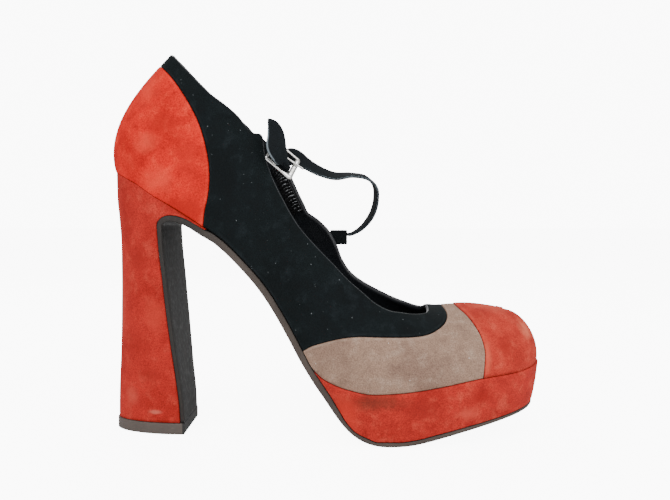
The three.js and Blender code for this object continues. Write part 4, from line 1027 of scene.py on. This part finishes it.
clouds = noise(nodes, links, place, 70.0, 4.0)
rim = nodes.new("ShaderNodeAttribute")
rim.attribute_name = "rim"
where = nodes.new("ShaderNodeSeparateXYZ")
links.new(place, where.inputs["Vector"])
# Under the arch and down the heel's breast the same leather's face and edge are painted nearly black: painted shade
breast_shade = remap(nodes, links, where.outputs["X"], 0.034, 0.022)
face = blend(nodes, links, breast_shade, (0.062, 0.050, 0.043, 1.0), (0.0075, 0.0082, 0.0080, 1.0))
edge = blend(nodes, links, remap(nodes, links, where.outputs["X"], 0.02, 0.05), (0.029, 0.026, 0.024, 1.0), (0.088, 0.069, 0.058, 1.0))
tone = blend(nodes, links, rim.outputs["Fac"], face, edge)
tone = blend(nodes, links, remap(nodes, links, clouds, 0.35, 0.7, 0.0, 0.35), tone, (0.022, 0.018, 0.016, 1.0))
tone = blend(nodes, links, remap(nodes, links, fibres, 0.5, 0.75, 0.0, 0.18), tone, (0.150, 0.125, 0.108, 1.0))
links.new(tone, shader.inputs["Base Color"])
links.new(remap(nodes, links, fibres, 0.3, 0.7, 0.55, 0.75), shader.inputs["Roughness"])
shader.inputs["Specular IOR Level"].default_value = 0.3
relief = nodes.new("ShaderNodeBump")
relief.inputs["Strength"].default_value = 0.3
relief.inputs["Distance"].default_value = 0.0003
links.new(fibres, relief.inputs["Height"])
links.new(relief.outputs["Normal"], shader.inputs["Normal"])
sole = grid_piece("sole", points, {"rim": marks})
sole.data.materials.append(sole_leather)
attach(sole, "root")
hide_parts("outsole")


# The heel: a moulded block, round behind and flat in front, drawn in at its waist and flared
# to the floor, wrapped in red suede with its joint hidden under the sole's cover.
heel_columns, heel_levels = 56, 110
tall = np.concatenate((np.linspace(0, 0.86, 78), np.linspace(0.86, 1.0, heel_levels - 77)[1:]))
front_tall = (cover_line[:, 1] - heel_foot_z) / (seat_z(cover_line[:, 0]) - heel_foot_z)
front_line = cover_line + np.stack((tangent[:, 1], -tangent[:, 0]), axis=-1) * clearance
keep = np.argsort(front_tall)
front_x = np.interp(tall, np.maximum.accumulate(front_tall[keep]), front_line[keep, 0])
rear_x = np.full(len(tall), back_x)
for _ in range(4):
    rear_z = heel_foot_z + (seat_z(rear_x) - heel_foot_z) * tall
    rear_x = back_x + heel_drawn(rear_z / seat_height) * heel_waist
share = np.linspace(0, 1, heel_columns) ** 2.0
x = rear_x[None, :] + (front_x - rear_x)[None, :] * share[:, None]
z = heel_foot_z + (seat_z(x) - heel_foot_z) * tall[None, :]
power = 2 / heel_full(z / seat_height)
inside = np.clip(1 - (x - rear_x[None, :]) / heel_round, 0, 1) ** (1 / power)
y = heel_half(z) * np.clip(1 - inside ** 2, 0, 1) ** (power / 2)
outer_side = np.stack((x, -y, z), axis=-1)[::-1]
inner_side = np.stack((x, y, z), axis=-1)[1:]
points = np.concatenate((outer_side, inner_side))
flat_end = points[:1] * np.array([1.0, 0.0, 1.0])
points = np.concatenate((flat_end, points, flat_end))
flat_row = points * np.array([1.0, 0.0, 1.0])
points = np.concatenate((flat_row[:, :1], points, flat_row[:, -1:]), axis=1)
heel_wear = [
    # middle, reach, colour, strength
    ((-9, -22, 108), (6, 20, 16), (0.33, 0.016, 0.012), 0.6), ((-2, -22, 88), (8, 20, 10), (0.33, 0.018, 0.013), 0.6),
    ((-5, -20, 45), (13, 20, 9), (0.34, 0.018, 0.013), 0.55), ((6, -20, 60), (7, 20, 12), (0.62, 0.050, 0.030), 0.6),
    ((-8, -18, 18), (6, 20, 7), (0.62, 0.085, 0.055), 0.6), ((2, -18, 30), (10, 20, 6), (0.33, 0.020, 0.014), 0.6),
    ((5, -19, 11), (5, 20, 1.5), (0.72, 0.180, 0.125), 0.65), ((-13, -16, 66), (3, 20, 22), (0.60, 0.090, 0.060), 0.5),
]
heel_suede = suede("heel_suede", (0.500, 0.028, 0.020), (0.640, 0.070, 0.045), (0.330, 0.015, 0.011),
                   blotches=0.6, mottles=0.5, wear_and_highlights=heel_wear)
heel = grid_piece("heel_block", points)
heel.data.materials.append(heel_suede)
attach(heel, "root")
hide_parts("heel")


# The top piece: the hard rubber tip nailed under the heel, a little proud of the suede and
# level with the cover in front.
tip_height = 5.5
tip_proud = 0.6
tip_front_x = breast_foot_x + breast_thickness
arc = np.linspace(-1, 1, 81)


def tip_ring(z, proud):
    power = 2 / heel_full(z / seat_height)
    half = heel_half(z) + proud
    rear = back_x + heel_drawn(z / seat_height) * heel_waist - proud
    front = tip_front_x - max(0.0, tip_proud - proud)
    x = rear + (front - rear) * np.abs(arc) ** 2
    inside = np.clip(1 - (x - rear) / heel_round, 0, 1) ** (1 / power)
    y = np.sign(arc) * half * np.clip(1 - inside ** 2, 0, 1) ** (power / 2)
    ring = np.stack((x, y, np.full(len(x), z)), axis=-1)
    face = ring[-1] + (ring[0] - ring[-1]) * np.linspace(0, 1, 13)[1:, None]
    return np.vstack((ring, face))


rings = [tip_ring(z, proud) for z, proud in
         ((0.0, tip_proud - 0.3), (0.12, tip_proud - 0.08), (0.35, tip_proud), (2.0, tip_proud), (4.0, tip_proud),
          (5.1, tip_proud), (5.38, tip_proud - 0.08), (tip_height, tip_proud - 0.3))]
middles = [np.repeat(ring.mean(axis=0, keepdims=True), len(ring), axis=0) for ring in (rings[0], rings[-1])]
points = np.stack([middles[0], *rings, middles[1]], axis=1)
tip_rubber = bpy.data.materials.new("tip_rubber")
tip_rubber.use_nodes = True
nodes, links = tip_rubber.node_tree.nodes, tip_rubber.node_tree.links
shader = nodes["Principled BSDF"]
place = nodes.new("ShaderNodeTexCoord").outputs["Object"]
grit = noise(nodes, links, place, 700.0, 4.0, 0.7)
smears = noise(nodes, links, place, 90.0, 4.0)
where = nodes.new("ShaderNodeSeparateXYZ")
links.new(place, where.inputs["Vector"])
tone = blend(nodes, links, smears, (0.070, 0.056, 0.048, 1.0), (0.125, 0.103, 0.088, 1.0))
tone = blend(nodes, links, remap(nodes, links, grit, 0.55, 0.8, 0.0, 0.4), tone, (0.24, 0.21, 0.19, 1.0))
# The top piece's flat front face under the breast is painted nearly black: painted shade like the breast above it
tone = blend(nodes, links, remap(nodes, links, where.outputs["X"], 0.0185, 0.0192), tone, (0.022, 0.021, 0.020, 1.0))
links.new(tone, shader.inputs["Base Color"])
links.new(remap(nodes, links, grit, 0.3, 0.7, 0.55, 0.75), shader.inputs["Roughness"])
relief = nodes.new("ShaderNodeBump")
relief.inputs["Strength"].default_value = 0.3
relief.inputs["Distance"].default_value = 0.0003
links.new(grit, relief.inputs["Height"])
links.new(relief.outputs["Normal"], shader.inputs["Normal"])
tip = grid_piece("heel_tip", points)
tip.data.materials.append(tip_rubber)
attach(tip, "root")
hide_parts("top_piece")


# The elastic: a short ruched strip sewn inside the inner quarter's front edge, where the shoe
# stretches to let the foot in. Its covering gathers into close, uneven ridges.
elastic_width = 7.0
elastic_thickness = 1.2
elastic_rows = [(0.384, 0.935), (0.402, 0.96), (0.411, 0.939), (0.425, 0.919), (0.439, 0.91), (0.445, 0.907)]
elastic_edge = smooth_line(on_upper(elastic_rows), 24)
run = np.concatenate(([0], np.cumsum(np.linalg.norm(np.diff(elastic_edge, axis=0), axis=1))))
place = np.linspace(0, run[-1], 260)
elastic_edge = np.stack([np.interp(place, run, elastic_edge[:, axis]) for axis in (0, 1)], axis=-1)
down = np.gradient(elastic_edge, axis=0)
down = np.stack([np.convolve(np.pad(down[:, axis], 30, mode="edge"), np.full(61, 1 / 61), "valid") for axis in (0, 1)], axis=-1)
down /= np.linalg.norm(down, axis=1, keepdims=True)
inward = np.stack((down[:, 1], -down[:, 0]), axis=-1)
over = np.array([0, 0.02, 0.06, *np.linspace(0.12, 0.88, 11), 0.94, 0.98, 1])
flat = elastic_edge[:, None] + inward[:, None] * (over * elastic_width + 0.6)[None, :, None]
on_wall = on_last(flat.reshape(-1, 2)).reshape(*flat.shape)
phase = place[:, None] * 2 * math.pi / 1.75 + 0.9 * np.sin(place[:, None] * 0.8) + 1.6 * np.sin(over * 4.0)[None, :]
ruche = np.sin(phase) * np.minimum(1, 8 * np.minimum(over, 1 - over) + 0.25)[None, :]
lift = 0.35 * ruche - 0.35
ends = np.minimum(1, np.minimum(place, place[-1] - place) / 0.8)[:, None]
sides = np.ones(flat.shape[:2])
face = skin_points(sides, on_wall[..., 0], on_wall[..., 1], -2.6 - elastic_thickness + 0.35 * lift * ends)
black_elastic = bpy.data.materials.new("black_elastic")
black_elastic.use_nodes = True
nodes, links = black_elastic.node_tree.nodes, black_elastic.node_tree.links
shader = nodes["Principled BSDF"]
place_out = nodes.new("ShaderNodeTexCoord").outputs["Object"]
# The bright grey on the tops of the ruches is a painted highlight
threads = noise(nodes, links, place_out, 1100.0, 3.0, 0.7)
glint_crest = nodes.new("ShaderNodeAttribute")
glint_crest.attribute_name = "glint_crest"
painted_glint = arithmetic(nodes, links, "MULTIPLY", remap(nodes, links, glint_crest.outputs["Fac"], 0.5, 0.95), remap(nodes, links, threads, 0.42, 0.6))
links.new(blend(nodes, links, painted_glint, (0.003, 0.003, 0.004, 1.0), (0.66, 0.69, 0.72, 1.0)), shader.inputs["Base Color"])
links.new(remap(nodes, links, threads, 0.3, 0.7, 0.3, 0.55), shader.inputs["Roughness"])
elastic = grid_piece("elastic_strip_ruched", face, {"glint_crest": ruche * (1 - 0.75 * over ** 2)[None, :]}, facing=(0, -1, 0))
apply_modifier(elastic, "SOLIDIFY", thickness=0.0008, offset=-1.0)
elastic.data.materials.append(black_elastic)
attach(elastic, "root")
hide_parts("elastic_strip")


# The strap's loop: a keeper of folded black suede on the ear of the inner quarter, with a flat
# slot that the instep strap runs through.
strap_width = 8.6
strap_thickness = 1.6
loop_length, loop_height, loop_wall = 9.4, 8.0, 1.3
loop_middle = (97.04, 31.16, 99.256)
slot_drop = loop_height / 2 - loop_wall - strap_thickness / 2 - clearance


def box(name, middle, size):
    """A cube scaled to millimetres."""
    bpy.ops.object.select_all(action="DESELECT")
    bpy.ops.mesh.primitive_cube_add(size=1.0, location=[part / 1000 for part in middle])
    made = bpy.context.object
    made.name = made.data.name = name
    made.scale = [part / 1000 for part in size]
    bpy.ops.object.transform_apply(location=True, rotation=True, scale=True)
    return made


keeper = box("loop_keeper", (loop_middle[0], loop_middle[1], loop_middle[2] - slot_drop),
             (loop_length, strap_width + 2 * loop_wall, loop_height))
slot = box("slot_cutter", loop_middle, (loop_length * 2, strap_width + 2 * clearance, strap_thickness + 2 * clearance))
apply_modifier(keeper, "BOOLEAN", operation="DIFFERENCE", object=slot, solver="EXACT")
bpy.data.objects.remove(slot)
apply_modifier(keeper, "BEVEL", width=0.00055, segments=3, limit_method="ANGLE", angle_limit=math.radians(40))
bpy.ops.object.shade_smooth_by_angle(angle=math.radians(35))
loop_suede = suede("loop_suede", (0.0075, 0.0100, 0.0110), (0.020, 0.026, 0.028), (0.004, 0.005, 0.006),
                   blotches=0.3, mottles=0.4, sheen=0.04)
keeper.data.materials.append(loop_suede)
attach(keeper, "root")
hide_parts("strap_loop")


# The instep strap: one long narrow strip of black suede with painted edges, out of the loop,
# round in a free bow and up through the buckle. It holds the shape it was left in.
strap_rows = np.array([
    # x, y, z, then the width as a vector
    (92.34, 31.16, 99.26, 0, 8.6, 0), (102.31, 31.16, 99.26, 0, 8.6, 0), (104.8, 30.15, 100.0, 0.1, 8.6, 0.5),
    (110.1, 25.33, 103.6, -0.5, 8.6, 1.2), (114.9, 18.92, 110.2, -1.2, 8.4, 1.4),
    (116.84, 12.65, 117.71, -1.2, 8.5, 0.9), (115.92, 6.39, 124.73, -0.9, 8.5, 1.1),
    (111.34, 1.15, 128.9, -0.6, 8.5, 1.6),
    (103.53, -3.07, 130.15, -0.51, 8.36, 1.96), (94.71, -6.27, 129.58, -0.98, 7.67, 3.77),
    (86.12, -9.47, 132.27, -1.45, 6.38, 5.59), (79.38, -11.66, 136.1, -1.81, 4.64, 7.01),
    (74.74, -12.53, 138.94, -2.03, 2.85, 7.85), (72.28, -15.12, 138.38, -2.14, 0.86, 8.28),
    (69.34, -17.57, 137.62, -2.14, 0.86, 8.28), (67.26, -19.7, 137.24, -2.14, 0.86, 8.28),
])
free_rows = np.array([
    (68.26, -20.27, 132.82, 5.58, 2.87, -4.53), (70.45, -23.16, 133.7, 4.6, 2.4, -3.8),
    (70.4, -26.6, 134.4, 4.4, 1.0, -1.6), (69.1, -27.9, 136.4, 7.0, 0.3, -0.3),
    (66.9, -28.4, 142.0, 9.5, 0, 0.3), (66.5, -27.2, 148.0, 8.3, 0, 0.6),
    (65.2, -26.0, 152.4, 5.9, 0, 0.9), (63.6, -25.0, 154.8, 3.0, 0, 0.6), (62.7, -24.7, 155.9, 0.8, 0, 0.2),
])


def ribbon(rows, thickness, corner, edge, per_span=10):
    """Points of rounded rectangles along a path, closed at both ends, and how far each lies
    from a cut edge: edge is that distance at the cut itself."""
    rows = smooth_line(rows, per_span)
    centre, across = rows[:, :3], rows[:, 3:]
    ahead = np.gradient(centre, axis=0)
    ahead /= np.linalg.norm(ahead, axis=1, keepdims=True)
    half = np.linalg.norm(across, axis=1, keepdims=True) / 2
    wide = across - ahead * (across * ahead).sum(axis=1, keepdims=True)
    wide /= np.linalg.norm(wide, axis=1, keepdims=True)
    thick = np.cross(ahead, wide)
    columns, marks = [], []
    for quarter, (w_side, t_side) in enumerate(((1, 1), (-1, 1), (-1, -1), (1, -1))):
        places = [(w_side, math.radians(90 * quarter + 45 * step)) for step in range(3)]
        if quarter in (0, 2):
            places += [(w_side * share, places[-1][1]) for share in (0.9, 0.7, 0.4, 0, -0.4, -0.7, -0.9)]
        for share, angle in places:
            w = share * (half - np.minimum(corner, 0.8 * half)) + math.cos(angle) * np.minimum(corner, 0.8 * half)
            t = t_side * (thickness / 2 - corner) + math.sin(angle) * corner
            columns.append(centre + wide * w + thick * t)
            marks.append(edge + (1 - abs(math.cos(angle))) * 0.5 + (1 - abs(share)) * 4.0)
    columns.append(columns[0])
    marks.append(marks[0])
    points = np.stack(columns, axis=1)
    ends = [np.repeat(points[at:at + 1].mean(axis=1, keepdims=True), points.shape[1], axis=1) for at in (0, -1)]
    end = ends[1] if ends[1].shape[0] else np.repeat(points[-1:].mean(axis=1, keepdims=True), points.shape[1], axis=1)
    points = np.concatenate((ends[0], points, end))
    return points, np.broadcast_to(np.array(marks)[None, :], points.shape[:2])


# The pale grey-blue line along the strap's cut edges is partly their edge paint and partly a painted highlight
strap_suede = suede("strap_suede", (0.0080, 0.0105, 0.0125), (0.022, 0.028, 0.032), (0.0045, 0.006, 0.007),
                    blotches=0.3, mottles=0.4, line=(0.16, 0.19, 0.21), ridge=0.3, sheen=0.05)
points, edge_mm = ribbon(strap_rows, strap_thickness, 0.4, 0.28)
strap = grid_piece("instep_strap_bow", points, {"edge_mm": edge_mm})
strap.data.materials.append(strap_suede)
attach(strap, "root")
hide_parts("instep_strap")

points, edge_mm = ribbon(free_rows, strap_thickness, 0.4, 0.1)
# Only the free end's left cut edge keeps the pale line, a painted highlight on that side
beside = points[..., 0] - points[..., 0].mean(axis=1, keepdims=True)
edge_mm = np.where(beside < 0.8 * beside.min(axis=1, keepdims=True), 0.05, np.maximum(edge_mm, 1.5))
free_end = grid_piece("instep_strap_end", points, {"edge_mm": edge_mm})
free_end.data.materials.append(strap_suede)
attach(free_end, "root")
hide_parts("instep_strap")


# The buckle's frame: a bright nickel rectangle with rounded corners and a broader front bar,
# hung on the outer side of the throat.
buckle_middle = np.array([69.16, -21.27, 136.82])
buckle_forward = np.array([0.72089, 0.37046, -0.58573])
buckle_up = np.array([0.36820, 0.51128, 0.77654])
buckle_out = np.array([0.58715, -0.77547, 0.23217])
buckle_length, buckle_height, buckle_bar = 16.6, 12.8, 1.5


def tube(path, width, depth, sides=12, power=2.4):
    """Points of a bar with soft corners along a path drawn forward, up and out in the buckle's
    own axes: width is measured in the path's plane and depth across it."""
    ahead = np.gradient(path, axis=0)
    ahead /= np.linalg.norm(ahead, axis=1, keepdims=True)
    axis = np.cross(ahead[len(ahead) // 3], ahead[len(ahead) // 2])
    axis = axis / max(np.linalg.norm(axis), 1e-9)
    beside = np.cross(ahead, axis)
    beside /= np.linalg.norm(beside, axis=1, keepdims=True)
    angle = np.linspace(0, 2 * math.pi, sides + 1)
    a = np.sign(np.cos(angle)) * np.abs(np.cos(angle)) ** (2 / power)
    b = np.sign(np.sin(angle)) * np.abs(np.sin(angle)) ** (2 / power)
    width, depth = (np.broadcast_to(part, len(path))[:, None, None] for part in (width, depth))
    drawn = path[:, None] + beside[:, None] * width / 2 * a[None, :, None] + axis * depth / 2 * b[None, :, None]
    axes = np.stack((buckle_forward, buckle_up, buckle_out))
    return buckle_middle + drawn @ axes


bend = 0.9
half_length, half_height = (buckle_length - buckle_bar) / 2, (buckle_height - buckle_bar) / 2
outline = []
for quarter, (f_side, u_side) in enumerate(((1, 1), (-1, 1), (-1, -1), (1, -1))):
    for angle in np.radians(90 * quarter + np.linspace(0, 90, 9)):
        outline.append((f_side * (half_length - bend) + math.cos(angle) * bend,
                        u_side * (half_height - bend) + math.sin(angle) * bend, 0.0))
    f, u, _ = outline[-1]
    following = ((-1, 1), (-1, -1), (1, -1), (1, 1))[quarter]
    to_f, to_u = ((following[0] * (half_length - bend), u) if quarter % 2 == 0 else (f, following[1] * (half_height - bend)))
    outline += [(f + (to_f - f) * share, u + (to_u - u) * share, 0.0) for share in (0.25, 0.5, 0.75)]
outline = np.array(outline + outline[:1])
broad = 1.0 + 1.5 * np.clip((outline[:, 0] - half_length + 1.6) / 1.6, 0, 1) ** 2
lower_bar = np.clip((-outline[:, 1] - half_height + 1.6) / 1.6, 0, 1) ** 2
broad = broad + lower_bar * (0.3 + 0.7 * np.clip(0.5 + outline[:, 0] / buckle_length, 0, 1))
points = tube(np.vstack((outline[-2:-1], outline, outline[1:2])), np.concatenate((broad[-2:-1], broad, broad[1:2])) * 1.2, 1.3)[1:-1]
bright_nickel = bpy.data.materials.new("bright_nickel")
bright_nickel.use_nodes = True
nodes, links = bright_nickel.node_tree.nodes, bright_nickel.node_tree.links
shader = nodes["Principled BSDF"]
place_out = nodes.new("ShaderNodeTexCoord").outputs["Object"]
tarnish = noise(nodes, links, place_out, 450.0, 4.0)
links.new(blend(nodes, links, remap(nodes, links, tarnish, 0.35, 0.7), (0.86, 0.87, 0.86, 1.0), (0.62, 0.60, 0.55, 1.0)), shader.inputs["Base Color"])
links.new(remap(nodes, links, tarnish, 0.3, 0.7, 0.16, 0.32), shader.inputs["Roughness"])
shader.inputs["Metallic"].default_value = 1.0
buckle = grid_piece("buckle_frame_bar", points)
buckle.data.materials.append(bright_nickel)
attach(buckle, "root")
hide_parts("buckle_frame")


# The prong: a nickel wire curled round the frame's rear bar, running forward over the strap to
# rest on the front bar, with a blunt tip past it.
prong_width = 1.4
prong_length = 19.2
rear_bar = -half_length
curl_angle = np.radians(np.linspace(-190, 90, 30))
curl = np.stack((rear_bar + 1.75 * np.cos(curl_angle), np.zeros(30), 1.75 * np.sin(curl_angle)), axis=-1)
reach = np.linspace(0, 1, 26)[1:]
run = np.stack((rear_bar + reach * prong_length, np.zeros(25), 1.75 - 0.25 * reach), axis=-1)
wire = np.vstack((curl, run))
lean = math.tan(math.radians(7))
wire[:, 1] += np.maximum(wire[:, 0] - rear_bar, 0) * lean
taper = np.concatenate((np.full(30, 1.0), 1 - 0.25 * reach ** 2))
body = tube(wire, prong_width * taper, 1.2 * taper, 10, 2.0)
tip_cap = np.repeat(body[-1:].mean(axis=1, keepdims=True), body.shape[1], axis=1)
root_cap = np.repeat(body[:1].mean(axis=1, keepdims=True), body.shape[1], axis=1)
prong = grid_piece("buckle_prong_wire", np.concatenate((root_cap, body, tip_cap)))
prong.data.materials.append(bright_nickel)
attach(prong, "root")
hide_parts("buckle_prong")


# The tab: a short fold of black suede that holds the frame's rear bar above the prong, sewn
# down inside the outer quarter.
ear_width, ear_up = 3.0, 2.5
ear_angle = np.radians(np.linspace(-150, 150, 40))
fold = np.stack((rear_bar + 1.8 * np.cos(ear_angle), np.full(40, ear_up), 1.8 * np.sin(ear_angle)), axis=-1)
body = tube(fold, 0.8, ear_width, 12, 3.0)
caps = [np.repeat(body[at][None].mean(axis=1, keepdims=True), body.shape[1], axis=1) for at in (0, -1)]
tab = grid_piece("buckle_tab_fold", np.concatenate((caps[0], body, caps[1])), {"edge_mm": np.full((42, 13), 0.5)})
tab.data.materials.append(strap_suede)
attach(tab, "root")
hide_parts("buckle_tab")

tab_corners = np.array([(57.2, 142.24), (63.23, 137.34), (66.17, 143.56), (60.14, 148.45)])
across_tab, along_tab = np.linspace(0, 1, 14), np.linspace(0, 1, 20)
low_side = tab_corners[0] + (tab_corners[1] - tab_corners[0]) * along_tab[:, None]
high_side = tab_corners[3] + (tab_corners[2] - tab_corners[3]) * along_tab[:, None]
flat = low_side[:, None] + (high_side - low_side)[:, None] * across_tab[None, :, None]
on_wall = on_last(flat.reshape(-1, 2)).reshape(*flat.shape)
face = skin_points(np.full(flat.shape[:2], -1.0), on_wall[..., 0], on_wall[..., 1], -upper_wall - clearance)
tab_back = grid_piece("buckle_tab_back", face, {"edge_mm": np.full(flat.shape[:2], 3.0)}, facing=(0, -1, 0))
apply_modifier(tab_back, "SOLIDIFY", thickness=0.0008, offset=-1.0)
tab_back.data.materials.append(strap_suede)
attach(tab_back, "root")
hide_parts("buckle_tab")
